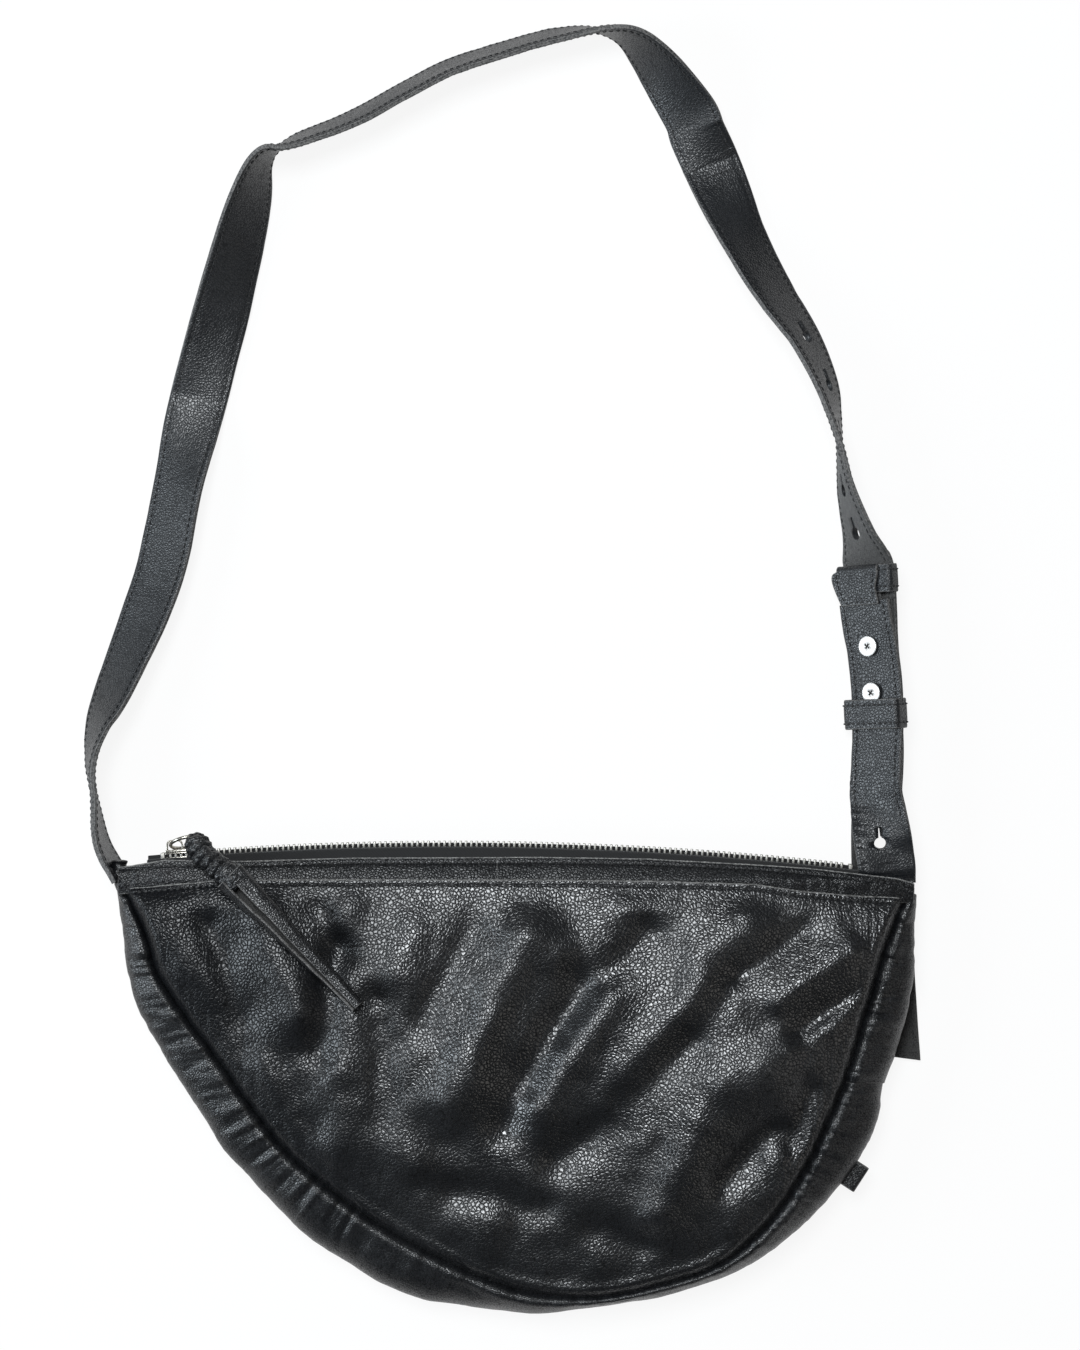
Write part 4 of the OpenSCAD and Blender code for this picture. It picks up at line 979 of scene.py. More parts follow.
ring = Piece("pull_ring_metal")
a = np.linspace(0, 2 * np.pi, 64, endpoint=False)
loop = np.stack([RING_R * np.cos(a), RING_R * np.sin(a), 0 * a], -1)
g = tube(ring, loop, RING_WIRE, sides=18, up=(0, 0, 1), closed=True)
ring.points[-1] = on_ring(g.reshape(-1, 3))
shown = ring.make([BEIGE], "zip_metal")
face_away(shown)
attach(shown, "ring")
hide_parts("pull_ring")


# %% Pull
NECK = [(197, 840, 22.5, 4.4), (196, 844, 26.0, 5.6), (199, 849, 30.5, 5.9), (204, 855, 35.0, 5.6),
        (211, 861, 39.4, 5.4), (218, 867, 43.0, 5.7), (226, 873, 46.3, 6.3), (234, 879, 48.8, 6.8),
        (240, 885, 49.4, 6.8)]
NECK_SIDES = 72
t = np.linspace(0, len(NECK) - 1, 190)
row = curve(NECK, t)
path = place(row[:, 0], row[:, 1], row[:, 2] * 0.001)
way, side_way, top_way = path_frames(path, UP)
a = np.linspace(0, 2 * np.pi, NECK_SIDES, endpoint=False)[None, :]
share = (t / t[-1])[:, None]
gathered = smooth((share - 0.10) / 0.1) * (1 - smooth((share - 0.66) / 0.18))
phase = share * 8.6 + 0.16 * np.sin(a + 1.0) + 0.12 * np.sin(2 * a + 3 * share)
folds = np.abs(np.sin(np.pi * phase)) ** 0.5 - 0.78
slow, fine = rough(share * 22, a * 2.2, 61), rough(share * 60, a * 5, 62)
r = row[:, 3:4] * 0.001 * (1 + 0.50 * folds * gathered + 0.10 * slow + 0.08 * fine)
flatten = 1 - 0.42 * smooth((share - 0.55) / 0.45)
lengthwise = 1 + 0.05 * np.sin(a * 7 + 2 * share) * smooth((share - 0.5) / 0.3)
wrap = (path[:, None] + (r * lengthwise * np.cos(a))[..., None] * side_way[:, None]
        + (r * flatten * np.sin(a))[..., None] * top_way[:, None])
gather = Piece("pull_gather_leather")
gather.add(wrap, tube_faces(len(t), NECK_SIDES))
shown = gather.make([SIDE], "grain_leather")
face_away(shown)
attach(shown, "pull")
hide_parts("pull_gather")

STRIP = [(229, 876, 7.4, 3.2), (245, 892, 7.0, 3.1), (274, 921, 5.6, 2.8), (303, 951, 4.5, 2.5),
         (332, 980, 3.7, 2.3), (357, 1006, 2.9, 2.2)]
t = np.linspace(0, len(STRIP) - 1, 150)
row = curve(STRIP, t)
LEAST_Z, EVEN_OVER = 0.0488, 31
lift = 0.0088 - 0.001 * t / t[-1]
path = place(row[:, 0], row[:, 1], np.maximum(panel_top(row[:, 0], row[:, 1]) + lift, LEAST_Z))
kernel = np.ones(EVEN_OVER) / EVEN_OVER
path[:, 2] = np.convolve(np.pad(path[:, 2], EVEN_OVER // 2, mode="edge"), kernel, mode="valid")
way, side_way, top_way = path_frames(path, UP)
slit = math.radians(78)
a = slit + np.linspace(0.24, 2 * np.pi - 0.24, 61)[None, :]
half_w, half_h = row[:, 2:3] * 0.001, row[:, 3:4] * 0.001
share = (t / t[-1])[:, None]
pinch = 1 + 0.35 * np.exp(-((np.minimum(a - slit, 2 * np.pi + slit - a)) / 0.5) ** 2)
u = half_w * np.sign(np.cos(a)) * np.abs(np.cos(a)) ** 0.8
h = half_h * np.sin(a) * pinch + 0.0003 * rough(share * 14, a * 2, 65)
lean = math.radians(24) * share
uu, hh = u * np.cos(lean) + h * np.sin(lean), -u * np.sin(lean) + h * np.cos(lean)
shell = path[:, None] + uu[..., None] * side_way[:, None] + hh[..., None] * top_way[:, None]
strip = Piece("pull_strip_leather")
leather_sheet(strip, outward(shell, path[:, None]), 0.0014, mat=0, inside=1, edge_mat=0)
shown = strip.make([SIDE, BACKING], "grain_leather")
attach(shown, "pull")
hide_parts("pull_strip")
print("slider, ring and pull done")

# %% [markdown]
# ## Strap
# The long strap is two layers sewn back to back. Its path is a row of readings, each with a roll about its
# own way and a lift above the table. It stands on edge down the left side, lies flat near the top right and
# turns over again before the buckle.

# %% Strap path
RUN_LIFT, RUN_TILT = 0.0036, 38.0
STRAP_ROWS = np.array([
    [121, 879, -98, 0], [101.5, 843, -95, 0], [93.7, 797, -83, 0], [90, 762, -75, 0], [97, 725, -60, 0],
    [113, 690, -46, 0], [144, 616, -32, 0], [162.5, 560, -27, 0], [179, 480, -26, 0], [198, 400, 0, 0],
    [229, 281, 30, 0], [250, 200, 52, 0], [264, 158, 80, 0], [290, 143.5, 107, 0], [350, 120, 113, 0],
    [400, 93, 114, 0], [450, 68, 114, 0], [510, 48.5, 114, 0], [560, 35, 112, 0], [606, 31, 97, 0],
    [642, 50, 64, 0], [687, 110, 26, 0], [698, 136, 16, 0], [710, 162, 2, 0], [741, 232, -31, 0],
    [775, 293, -44, 0], [805, 338, -54, 0], [827, 386, -64, 0], [838.5, 437, -82, 0], [846.5, 490, -98, 0],
    [858.5, 533, -113, 0.2], [865, 556, RUN_TILT - 170, 0.8], [869.5, 572, RUN_TILT - 179, 1],
    [872, 612, RUN_TILT - 180, 1], [873.5, 646, RUN_TILT - 180, 1], [877, 692.5, RUN_TILT - 180, 1],
    [878, 740, RUN_TILT - 180, 1], [878, 770, RUN_TILT - 180, 1], [878, 800, RUN_TILT - 180, 1],
    [880, 842, -167, 0.4], [882, 885, -180, 0], [886, 960, -180, 0], [892, 1056, -180, 0]])
SEAM_STEP, LAST_STEP = 23, 42
STUD_STEPS = (34, 35)
KEYHOLE_STEPS = (26, 27, 28, 29, 30, 34, 35, 36.1, 37.7, 39)
PLY = 0.0003
STACK = STRAP_T + PLY


def strap_at(at):
    """Middle, way, side and face direction of the long strap at fractional steps."""
    at = np.atleast_1d(np.asarray(at, float))

    def middle(q):
        row = curve(STRAP_ROWS, q)
        roll = np.radians(row[:, 2])
        half_high = (STRAP_W * np.abs(np.sin(roll)) + STRAP_T * np.abs(np.cos(roll))) / 2
        z = half_high + 0.0002 + row[:, 3] * RUN_LIFT
        return place(row[:, 0], row[:, 1], z), roll
    p, roll = middle(at)
    ahead, behind = middle(np.minimum(at + 0.02, LAST_STEP))[0], middle(np.maximum(at - 0.02, 0))[0]
    way = ahead - behind
    way[:, 2] = 0
    way = unit(way)
    return p, *sides_of(way, roll)


def sides_of(way, roll):
    """Side and face directions of a strap that goes a way with a roll about it."""
    left = np.stack([-way[:, 1], way[:, 0], 0 * way[:, 0]], -1)
    c, s = np.cos(roll)[:, None], np.sin(roll)[:, None]
    return way, c * left + s * UP, c * UP - s * left


# The section of the strap is a closed row of points. Some columns are the back, and four of them are sewn.
HALF = STRAP_W / 2
SEW = HALF - 0.0026
across = np.array([-1, -0.93, -0.88, -0.82, -0.76, -0.6, -0.3, 0, 0.3, 0.6, 0.76, 0.82, 0.88, 0.93, 1.0])
across = across * (HALF - 0.00045)


def strap_profile():
    """The strap's section, and how raw it is: face, edge with the line between the layers, back, edge."""
    high = STRAP_T / 2 + 0.0001 - 0.00028 * np.exp(-((np.abs(across) - SEW) / 0.0007) ** 2)
    high = high - 0.0003 * (np.abs(across) > HALF - 0.0006)
    face = np.stack([across, high], -1)
    edge = np.array([[HALF - 0.0001, 0.00105], [HALF + 0.00005, 0.00055], [HALF - 0.00035, 0.0],
                     [HALF + 0.00005, -0.00055], [HALF - 0.0001, -0.00105]])
    back_side = face[::-1] * [1, -1]
    other = edge[::-1] * [-1, 1]
    raw = [0.5] + [0] * 13 + [0.5] + [1] * 5 + [0.5] + [0] * 13 + [0.5] + [1] * 5
    return np.concatenate([face, edge, back_side, other]), np.array(raw, float)


PROFILE, RAW_SHARE = strap_profile()
BACK_FROM, BACK_TO = 20, 34
SEWN_COLUMNS = (3, 11, 23, 31)
STRAP_STITCH = dict(pitch=0.0034, long=0.0024, wide=0.00036)
SEAM_ROW, TIP_ROW = 14, -6


def strap_body(piece, p, way, side, face, seed, back_mat=1, tip=None, extra=None):
    """Adds a strap along its middle and returns its points. `tip` shifts points along the way and `extra`
    lifts them, both by a rule."""
    n, k = len(p), len(PROFILE)
    run = run_of(p)
    u, h = PROFILE[:, 0][None, :], PROFILE[:, 1][None, :]
    wave = 0.00035 * rough(run[:, None] / 0.035, u / 0.02, seed)
    wave = wave + 0.00012 * rough(run[:, None] / 0.006, u / 0.006, seed + 1)
    wave = wave if extra is None else wave + extra(u)
    wide = u + 0.0002 * rough(run[:, None] / 0.02, np.sign(u) * 3.0 + 0 * run[:, None], seed + 2) * np.sign(u)
    g = p[:, None] + wide[..., None] * side[:, None] + (h + wave)[..., None] * face[:, None]
    if tip is not None:
        g = g + tip(run[:, None], u)[..., None] * way[:, None]
    uv = grid_of(run[:, None], u, 0)[..., :2]
    faces = grid_faces(n, k, close_j=True)
    column = np.tile(np.arange(k), n - 1)
    is_back = (column >= BACK_FROM) & (column < BACK_TO)
    caps = tube_faces(n, k)[-2:]
    mats = [0] * int((~is_back).sum()) + [back_mat] * int(is_back.sum()) + [0, 0]
    ordered = faces[~is_back].tolist() + faces[is_back].tolist() + caps
    piece.add(g, ordered, mats, np.tile(RAW_SHARE, (n, 1)).ravel(), uv)
    return g


def sew_strap(piece, g, mat, first=3, last=3):
    """Sews a strap along both edges of its face and its back."""
    part = g[first:len(g) - last]
    for j in SEWN_COLUMNS:
        line = part[:, j]
        n = unit(np.cross(np.gradient(line, axis=0), part[:, (j + 1) % len(PROFILE)] - line))
        n = n * np.sign((n * (line - part.mean(1))).sum(-1, keepdims=True))
        thread(piece, line + n * 0.00012, n, mat=mat, **STRAP_STITCH)


# %% Long strap
main = Piece("strap_main_leather")
at = np.linspace(0, SEAM_STEP + 0.05, 700)
p, way, side, face = strap_at(at)
g = strap_body(main, p, way, side, face, 71, back_mat=0)
sew_strap(main, g, 1)
strap_main = main.make([STRAP, THREAD], "strap_leather")
face_away(strap_main)
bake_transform(strap_main)
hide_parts("strap_main_face", "strap_main_backing")

TIP_TURN, TIP_LONG = math.tan(math.radians(11)), 0.02
keyed = Piece("strap_keyhole_leather")
at = np.linspace(SEAM_STEP - 0.06, LAST_STEP, 900)
p, way, side, face = strap_at(at)
total = np.linalg.norm(np.diff(p, axis=0), axis=1).sum()
g = strap_body(keyed, p, way, side, face, 75,
               tip=lambda run, u: -u * TIP_TURN * smooth((run - total + TIP_LONG) / TIP_LONG))
g = g + face[:, None] * (0.0006 * (1 - smooth((at - SEAM_STEP) / 0.35)))[:, None, None]
keyed.points[-1] = g.reshape(-1, 3)
strap_keyed = keyed.make([STRAP, BACKING, THREAD], "strap_leather")
face_away(strap_keyed)


def cut(piece, outline, places, low, high, inner=None):
    """Takes a prism of the outline, from low to high, out of a piece at each place. With `inner` the cut
    faces get a material of their own."""
    bm = bmesh.new()
    for m in places:
        rings = [[bm.verts.new(m @ Vector((x, y, z))) for x, y in outline] for z in (low, high)]
        bm.faces.new(rings[0][::-1])
        bm.faces.new(rings[1])
        for k in range(len(outline)):
            q = (k + 1) % len(outline)
            bm.faces.new((rings[0][k], rings[0][q], rings[1][q], rings[1][k]))
    mesh = bpy.data.meshes.new("cutter")
    bm.to_mesh(mesh)
    bm.free()
    cutter = bpy.data.objects.new("cutter", mesh)
    bpy.context.scene.collection.objects.link(cutter)
    hole = piece.modifiers.new("hole", "BOOLEAN")
    hole.operation, hole.object, hole.solver = "DIFFERENCE", cutter, "EXACT"
    if inner:
        mesh.materials.append(inner)
        hole.material_mode = "TRANSFER"
    bpy.context.view_layer.update()
    done = bpy.data.meshes.new_from_object(piece.evaluated_get(bpy.context.evaluated_depsgraph_get()))
    piece.modifiers.clear()
    old, piece.data = piece.data, done
    bpy.data.meshes.remove(old)
    bpy.data.objects.remove(cutter)
    bpy.data.meshes.remove(mesh)


def keyhole(radius=0.00325, slit=0.0085, half=0.00085):
    """Outline of a keyhole: a round hole with a slit behind it."""
    start = math.asin(half / radius)
    turn = np.linspace(np.pi + start, 3 * np.pi - start, 40)
    ring = [(radius * math.cos(a), radius * math.sin(a)) for a in turn]
    return ring + [(-slit, half), (-slit, -half)]


def frame_at(p, way, side, face):
    """A frame at a point, with its axes along three directions."""
    m = Matrix((way, side, face)).transposed().to_4x4()
    m.translation = Vector(p)
    return m


def strap_place(at):
    """Frame on the long strap at a step."""
    return frame_at(*(q[0] for q in strap_at(at)))


cut(strap_keyed, keyhole(), [strap_place(k) for k in KEYHOLE_STEPS], -0.0045, 0.0045)
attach(strap_keyed, "strap")
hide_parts("strap_keyhole_face", "strap_keyhole_backing")
sewn = Piece("strap_keyhole_thread")
sew_strap(sewn, g, 0, first=8, last=6)
for j0, j1, out in ((1, 13, 1), (21, 33, -1)):
    line = np.linspace(g[SEAM_ROW, j0], g[SEAM_ROW, j1], 40)
    thread(sewn, line + face[SEAM_ROW] * out * 0.0001, face[SEAM_ROW] * out, **STRAP_STITCH)
for j0, j1, out in ((3, 11, 1), (31, 23, -1)):
    thread(sewn, np.linspace(g[TIP_ROW, j0], g[TIP_ROW, j1], 40), out * face[TIP_ROW], **STRAP_STITCH)
shown = sewn.make([THREAD], "strap_leather")
face_away(shown)
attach(shown, "strap")
print("long strap done", len(strap_main.data.polygons), len(strap_keyed.data.polygons))

# %% [markdown]
# ## Buckled end
# The anchor strap lies over the long strap. Its two studs go through the keyholes. Its upper end is folded
# over as a loop that holds the fixed keeper, and a second keeper slides over both straps.

# %% Anchor strap
ROOT_Z = 0.0214
ANCHOR_ROWS = np.array([
    [864.8, 602, 38], [868.5, 627, 38], [872.5, 646, 38], [875.5, 670, 38], [877.5, 692.5, 38],
    [878.2, 728, 38], [877, 760, 38], [877, 791, 34], [879.5, 811, 27], [882.5, 834, 14],
    [885, 853, 2], [887, 866, 0], [888, 884, 0]])


def anchor_at(count):
    """Middle, way, side and face direction of the anchor strap at a count of places, and their readings."""
    at = np.linspace(0, len(ANCHOR_ROWS) - 1, count)
    row = curve(ANCHOR_ROWS, at)
    roll = np.radians(row[:, 2])
    q = (row[:, 1] - 795) / 50
    run_z = 0.0139 + STACK * math.cos(math.radians(RUN_TILT))
    z = run_z + (ROOT_Z - run_z) * smooth(q)
    p = place(row[:, 0], row[:, 1], z)
    p[:, 2] -= 0.0018 * smooth((row[:, 1] - 868) / 14)
    way = np.gradient(p, axis=0)
    way[:, 2] = 0
    way = unit(way)
    return p, *sides_of(way, roll), row


p, way, side, face, row = anchor_at(260)
anchor = Piece("anchor_strap_leather")


def anchor_creases(u):
    """A slanting valley low on the anchor, with fine wrinkles on its left."""
    px, py = row[:, 0:1] + u / 0.00051, row[:, 1:2]
    off = px - (852 + 0.436 * (py - 765)) + 2.5 * rough(py / 14, 0 * u, 85)
    left = smooth(-off / 5)
    valley = np.where(off < 0, np.minimum(-off, 26) * 0.000075, np.minimum(off, 30) * 0.000028)
    fine = 0.00030 * (rough(off / 9, (py - 0.3 * px) / 2.6, 86) - 0.5) * left
    fine = fine + 0.00014 * (rough(off / 3, py / 12, 87) - 0.5)
    return (valley + fine) * smooth((py - 764) / 16)


g = strap_body(anchor, p, way, side, face, 83, extra=anchor_creases)
anchor_strap = anchor.make([STRAP, BACKING, THREAD], "strap_leather")
face_away(anchor_strap)


def stud_place(step):
    """Frame of a stud: on the run at a step, in the run's own tilt."""
    p, way = (q[0] for q in strap_at(step)[:2])
    way, side, face = (q[0] for q in sides_of(way[None], np.array([math.radians(RUN_TILT)])))
    return frame_at(p, way, side, face)


def apply(m, points):
    """Points moved by a frame."""
    r = np.array(m)
    return np.asarray(points) @ r[:3, :3].T + r[:3, 3]


hole_at = Matrix.Rotation(math.radians(-90), 4, "Z")
hole_at.translation = Vector(place(880.5, 843.5, ROOT_Z).tolist())
cut(anchor_strap, keyhole(0.0031, 0.0082, 0.0009), [hole_at], -0.008, 0.008)
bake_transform(anchor_strap)
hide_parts("anchor_face", "anchor_backing", "strap_root_right")
sewn = Piece("anchor_strap_thread")
sew_strap(sewn, g, 0, first=4, last=20)
shown = sewn.make([THREAD], "strap_leather")
face_away(shown)
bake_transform(shown)


LOOP_LEATHER = 0.0016


def loop_band(piece, outline, length, m, shift):
    """A closed band of leather: an outline across the strap, carried along it, and sewn at both edges."""
    o = np.array(outline)
    o = np.concatenate([o, o[:1]])
    half = length / 2
    x = np.linspace(-half, half, 17)
    pillow = 0.00035 * (1 - (x / half) ** 4) - 0.00025 * np.exp(-((np.abs(x) - half + 0.0021) / 0.0007) ** 2)
    way_out = unit(np.gradient(o, axis=0))
    out = np.stack([way_out[:, 1], -way_out[:, 0]], -1)
    out = out * np.sign(((o - o.mean(0)) * out).sum(-1, keepdims=True))
    pts = o[:, None] + out[:, None] * pillow[None, :, None]
    g = apply(m, grid_of(x[None] + shift, pts[..., 0], pts[..., 1]))
    g = outward(g, g.mean((0, 1)))
    leather_sheet(piece, g, LOOP_LEATHER, mat=0, inside=2, edge_mat=0)
    n = normals(g)
    for j in (3, 13):
        line = g[2:-2, j] + n[2:-2, j] * LOOP_LEATHER * 0.5
        thread(piece, line, n[2:-2, j], pitch=0.0031, long=0.0022, wide=0.0005, mat=1)


def rounded(half_w, low, high, r):
    """Outline of a box with rounded corners, in short steps that begin below its middle."""
    right, upper = half_w - r, high - r
    left, lower = -half_w + r, low + r
    pts = []
    for cx, cz, from_deg in ((right, upper, 0), (left, upper, 90), (left, lower, 180), (right, lower, 270)):
        for k in range(9):
            a = math.radians(from_deg + 90 * k / 8)
            pts.append((cx + r * math.cos(a), cz + r * math.sin(a)))
    dense = []
    for k in range(len(pts)):
        a, b = np.array(pts[k]), np.array(pts[(k + 1) % len(pts)])
        steps = max(1, int(np.linalg.norm(b - a) / 0.0015))
        dense += [tuple(a + (b - a) * q / steps) for q in range(steps)]
    k = min(range(len(dense)), key=lambda q: abs(dense[q][0]) + (0 if dense[q][1] < 0 else 1))
    return dense[k:] + dense[:k]


slide = Piece("sliding_keeper_leather")
loop_band(slide, rounded(HALF + 0.0007, -0.0025, 0.0066, 0.0016), 0.0142, stud_place(35), 0.0107)
shown = slide.make([STRAP, THREAD, BACKING], "strap_leather")
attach(shown, "keeper")
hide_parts("sliding_keeper")

fixed = Piece("fixed_keeper_leather")
loop_band(fixed, rounded(HALF - 0.0002, -0.0026, 0.0044, 0.0014), 0.0134, stud_place(33), -0.0166)
shown = fixed.make([STRAP, THREAD, BACKING], "strap_leather")
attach(shown, "strap")
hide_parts("fixed_keeper")

fold = Piece("anchor_fold_leather")
m = stud_place(33)
low, high, end_x, open_x = 0.00255, 0.0064, -0.0212, -0.0040
FOLD_HALF = HALF * 0.92
rr = (high - low) / 2
a = np.radians(np.linspace(-90, -270, 15))
bow = np.stack([end_x + rr * np.cos(a), (low + high) / 2 + rr * np.sin(a)], -1)
lowest = np.stack([np.linspace(open_x, end_x, 18)[:-1], np.full(17, low)], -1)
bowed = high + 0.0004 * np.sin(np.linspace(0, np.pi, 17))
highest = np.stack([np.linspace(end_x, open_x, 18)[1:], bowed], -1)
line = np.concatenate([lowest, bow, highest])
y = np.linspace(-FOLD_HALF, FOLD_HALF, 25)
g = grid_of(line[:, None, 0], y[None], line[:, None, 1])


def leaning(points):
    """The fold leans to the left of the strap below it, and its left side is rounded."""
    p = np.array(points, float)
    down = np.clip((p[..., 0] - end_x) / (open_x - end_x), 0, 1)
    left = 0.00064 * (3.0 * (1 - down) ** 12 - 3.2 * np.sin(np.pi * np.sqrt(down)) + 0.8 * down)
    right = 0.00064 * (-2.5 - 5.0 * smooth(down * 1.6))
    part = np.clip(p[..., 1] / FOLD_HALF, -1, 1)
    p[..., 1] += 0.18 * (p[..., 0] - open_x) - 0.0004 + np.where(part < 0, -part * left, part * right)
    return apply(m, p)


g = leaning(g)
core = leaning([[(end_x + open_x) / 2, 0, (low + high) / 2]])[0]
g = outward(g, core)
leather_sheet(fold, g, 0.0015, mat=0, inside=2, edge_mat=0)
FOLD_STITCH = dict(pitch=0.0031, long=0.0022, wide=0.00036, mat=1)
face_up = np.array(m)[:3, 2]
for jx in (open_x - 0.0012, open_x - 0.0028):
    reach = FOLD_HALF - 0.002
    thread(fold, leaning(grid_of(jx, np.linspace(-reach, reach, 40), high + 0.00085)), face_up, **FOLD_STITCH)
for jy in (-FOLD_HALF + 0.0024, FOLD_HALF - 0.0024):
    x = np.linspace(end_x + 0.001, open_x - 0.001, 40)
    bowed = high + 0.0008 + 0.0004 * np.sin(np.linspace(0, np.pi, 40))
    thread(fold, leaning(grid_of(x, jy, bowed)), face_up, **FOLD_STITCH)
shown = fold.make([STRAP, THREAD, BACKING], "strap_leather")
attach(shown, "strap")
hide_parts("anchor_fold")


# %% Studs
LATHE_SIDES = 48


def lathe(piece, rows, m):
    """Adds a turned body: rows of radius and height."""
    a = np.linspace(0, 2 * np.pi, LATHE_SIDES, endpoint=False)
    g = np.array([[(r * math.cos(q), r * math.sin(q), h) for q in a] for r, h in rows])
    piece.add(apply(m, g), tube_faces(len(rows), LATHE_SIDES, caps_out=True))


discs, knobs = Piece("stud_discs_metal"), Piece("stud_knobs_metal")
base = STACK + STRAP_T / 2 + 0.0001
for step in STUD_STEPS:
    m = stud_place(step)
    lathe(discs, [(0.0044, base), (0.0050, base + 0.0001), (0.0052, base + 0.0004), (0.0051, base + 0.0007),
                  (0.0047, base + 0.00088), (0.0030, base + 0.00092), (0.0006, base + 0.00094)], m)
    lathe(knobs, [(0.0026, -0.0058), (0.0029, -0.0055), (0.0029, -0.0024), (0.0026, -0.0019),
                  (0.0020, -0.0018), (0.0020, base + 0.0002)], m)
discs_shown = discs.make([STEEL], "stud_metal")
face_away(discs_shown)
arm, wide = 0.0015, 0.00042
cross = [(arm, -wide), (arm, wide), (wide, wide), (wide, arm), (-wide, arm), (-wide, wide),
         (-arm, wide), (-arm, -wide), (-wide, -wide), (-wide, -arm), (wide, -arm), (wide, -wide)]
cross_turn = Matrix.Rotation(math.radians(52), 4, "Z")
# The cross's cut faces take the near-black metal: painted shade in the recess.
cut(discs_shown, cross, [stud_place(step) @ cross_turn for step in STUD_STEPS],
    base + 0.0004, base + 0.002, inner=RECESS_PAINTED_SHADE)
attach(discs_shown, "strap")
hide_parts("stud_discs")
knobs_shown = knobs.make([STEEL], "stud_metal")
face_away(knobs_shown)
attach(knobs_shown, "strap")
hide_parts("stud_knobs")
print("studs and keepers done")

# %% [markdown]
# ## Corner piece and side tab
# At the left corner the strap's end is wrapped in a small folded piece of leather. A small folded loop of
# leather is caught in the gusset at the lower right.

# %% Corner piece and side tab
corner = Piece("corner_leather")
rows = np.array([[119, 861, 24.0], [119, 871, 24.6], [120.5, 880, 24.8], [124, 888, 24.4]])
a = np.radians(np.linspace(-60, 240, 21))
t = np.linspace(0, 3, 30)
r = curve(rows, t)
centre = place(r[:, 0], r[:, 1], r[:, 2] * 0.001 - 0.004)
way, side_way, top_way = path_frames(centre, UP)
fat = 0.0036 + 0.0008 * rough(t * 2.2, 0 * t, 91)
c, s = np.cos(a)[None, :, None], np.sin(a)[None, :, None]
g = centre[:, None] + fat[:, None, None] * (c * side_way[:, None] * 0.8 + 1.15 * s * top_way[:, None])
leather_sheet(corner, outward(g, centre[:, None]), 0.0014, mat=0, inside=1)
shown = corner.make([SIDE, BACKING], "grain_leather")
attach(shown, "bag")
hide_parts("strap_root_left")

tab = Piece("side_tab_leather")
turn = math.radians(-33)
p0 = place(847.5, 1170.5, WIDEST_Z)
m = Matrix.Rotation(turn, 4, "Z")
m.translation = Vector(p0.tolist())
TAB_ROOT, TAB_BEND, TAB_GAP = -0.0020, 0.0068, 0.0008
round_end = np.linspace(0.3, np.pi - 0.3, 7)
x = np.concatenate([np.linspace(TAB_ROOT, TAB_BEND, 14), TAB_BEND + 0.0012 * np.sin(round_end),
                    np.linspace(TAB_BEND, TAB_ROOT, 14)])
z = np.concatenate([np.full(14, TAB_GAP), TAB_GAP * np.cos(round_end), np.full(14, -TAB_GAP)])
y = np.linspace(-0.0068, 0.0068, 13)
g = apply(m, grid_of(x[:, None], y[None], z[:, None]))
leather_sheet(tab, outward(g, apply(m, [[0.002, 0, 0]])[0]), 0.0013, mat=0, inside=0)
edge_line = [(0.0005, -0.0050), (0.0056, -0.0050), (0.0056, 0.0050), (0.0005, 0.0050)]
for k in range(3):
    (x0, y0), (x1, y1) = edge_line[k], edge_line[k + 1]
    line = apply(m, grid_of(np.linspace(x0, x1, 20), np.linspace(y0, y1, 20), 0.0015))
    thread(tab, line, UP, pitch=0.0026, long=0.0018, wide=0.0003, mat=1)
shown = tab.make([SIDE, THREAD], "grain_leather")
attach(shown, "bag")
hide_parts("side_tab")
print("corner piece and tab done")

# %% [markdown]
# ## Table, light and view
# A white table, a soft light from above the far edge and a cooler one low on the left. Two weak ones, from
# above and from the right, fill the shadows. The table shows nearly white to the eye and to reflections,
# and keeps a faint shadow.

# %% Table, light and view
TABLE_HALF, TABLE_Z = 60, -0.0002


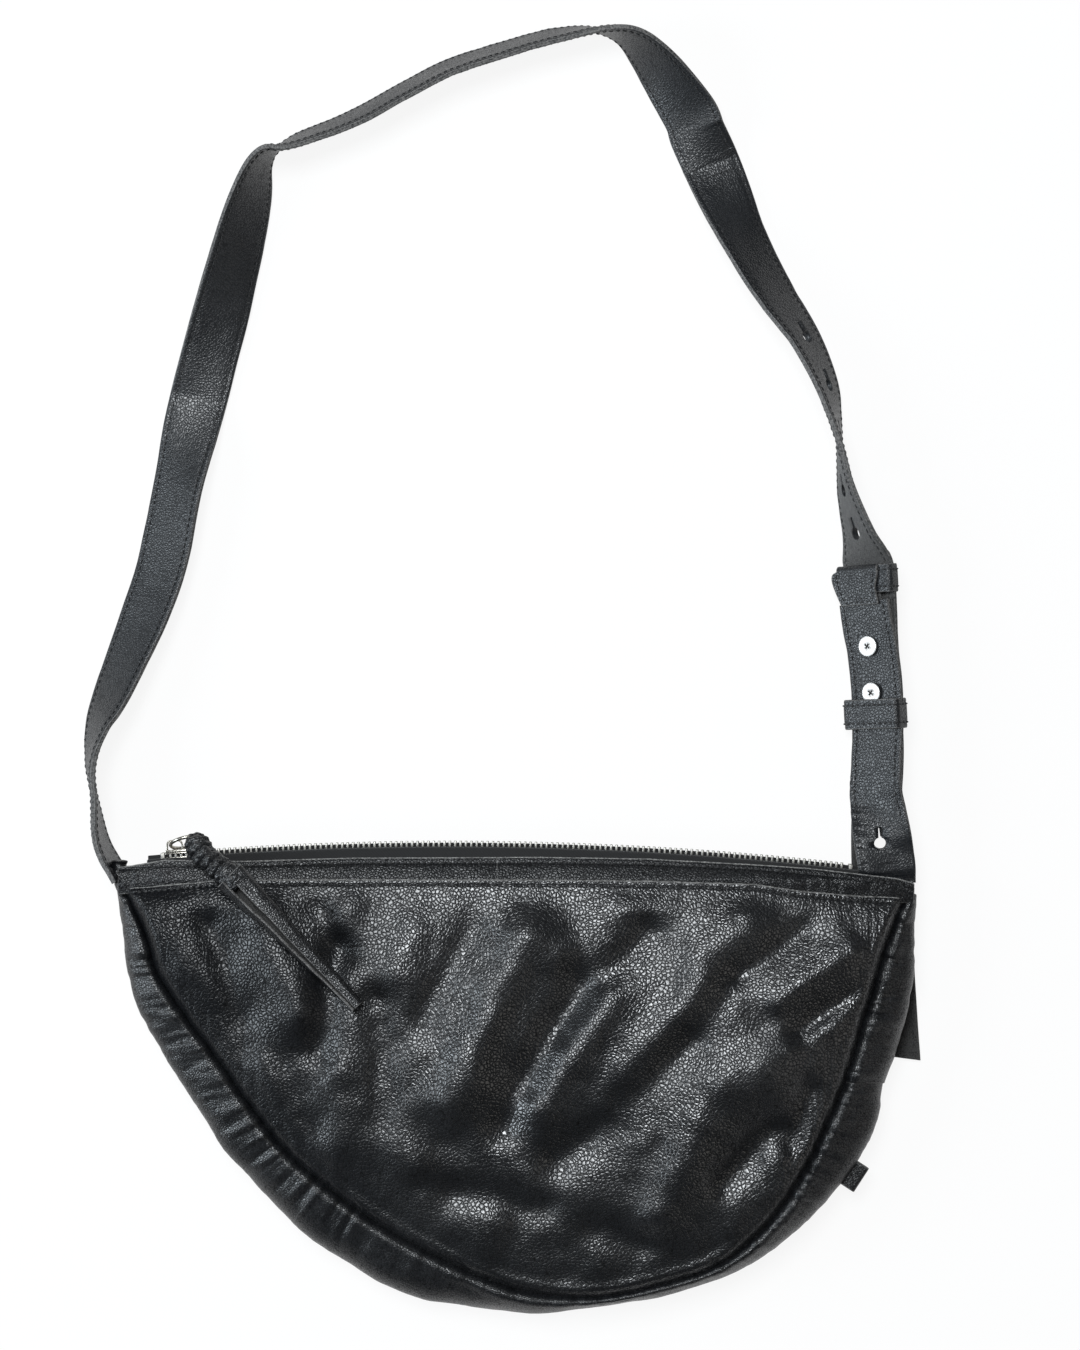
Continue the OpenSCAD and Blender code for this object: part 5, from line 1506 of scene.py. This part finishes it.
def studio_white():
    """White board that is mostly a plain glow to the eye and to reflections."""
    m, t = nodes_of("white table")
    clouds = noise(t, 3.0, 2.0, own_place(t)).outputs[0]
    tone = mixed(t, clouds, shade((0.90, 0.90, 0.90)), shade((0.93, 0.93, 0.925)))
    board = node(t, "ShaderNodeBsdfDiffuse", Color=tone)
    glow = node(t, "ShaderNodeEmission", Color=(1, 1, 1, 1))
    ray = t.nodes.new("ShaderNodeLightPath").outputs
    seen = math_node(t, "ADD", ray["Is Camera Ray"], ray["Is Glossy Ray"], clamp=True)
    seen = math_node(t, "ADD", seen, ray["Is Transmission Ray"], clamp=True)
    mix = t.nodes.new("ShaderNodeMixShader")
    for k, source in enumerate((math_node(t, "MULTIPLY", seen, 0.90), board.outputs[0], glow.outputs[0])):
        feed(t, mix.inputs[k], source)
    node(t, "ShaderNodeOutputMaterial", Surface=mix.outputs[0])
    return m


mesh = bpy.data.meshes.new("table")
corners = [(-1, -1), (1, -1), (1, 1), (-1, 1)]
mesh.from_pydata([(x * TABLE_HALF, y * TABLE_HALF, TABLE_Z) for x, y in corners], [], [(0, 1, 2, 3)])
table = bpy.data.objects.new("table", mesh)
bpy.context.scene.collection.objects.link(table)
mesh.materials.append(studio_white())

world = bpy.data.worlds.new("room")
bpy.context.scene.world = world
world.use_nodes = True
world.node_tree.nodes["Background"].inputs["Color"].default_value = (0.93, 0.96, 1.0, 1)
world.node_tree.nodes["Background"].inputs["Strength"].default_value = 0.05


def softbox(name, place_at, look_at, size, power, colour):
    """A square soft light that looks from one place at another."""
    lamp = bpy.data.lights.new(name, "AREA")
    lamp.shape, lamp.size, lamp.size_y = "RECTANGLE", size, size
    lamp.energy, lamp.color = power, colour
    o = bpy.data.objects.new(name, lamp)
    bpy.context.scene.collection.objects.link(o)
    o.location = place_at
    o.rotation_euler = (Vector(look_at) - Vector(place_at)).to_track_quat("-Z", "Y").to_euler()


softbox("window", (-0.35, 0.9, 2.15), (0, 0.12, 0), 0.8, 48.0, (0.93, 0.97, 1.0))
softbox("ceiling", (-0.1, 0.25, 2.5), (0, 0.15, 0), 1.0, 1.6, (0.96, 0.98, 1.0))
softbox("low window", (-2.0, 0.0, 1.0), (0, 0.15, 0), 1.0, 32.0, (0.84, 0.93, 1.0))
softbox("wall", (1.6, -0.5, 1.2), (0, 0.1, 0), 0.9, 2.5, (1.0, 0.95, 0.88))

camera = bpy.data.cameras.new("view")
camera.lens, camera.sensor_width = 78.43, 36.0
camera.clip_start = 0.05
eye = bpy.data.objects.new("view", camera)
bpy.context.scene.collection.objects.link(eye)
eye.location = (0.01222, 0.21186, EYE)
bpy.context.scene.camera = eye
scene = bpy.context.scene
scene.view_settings.view_transform = "Standard"
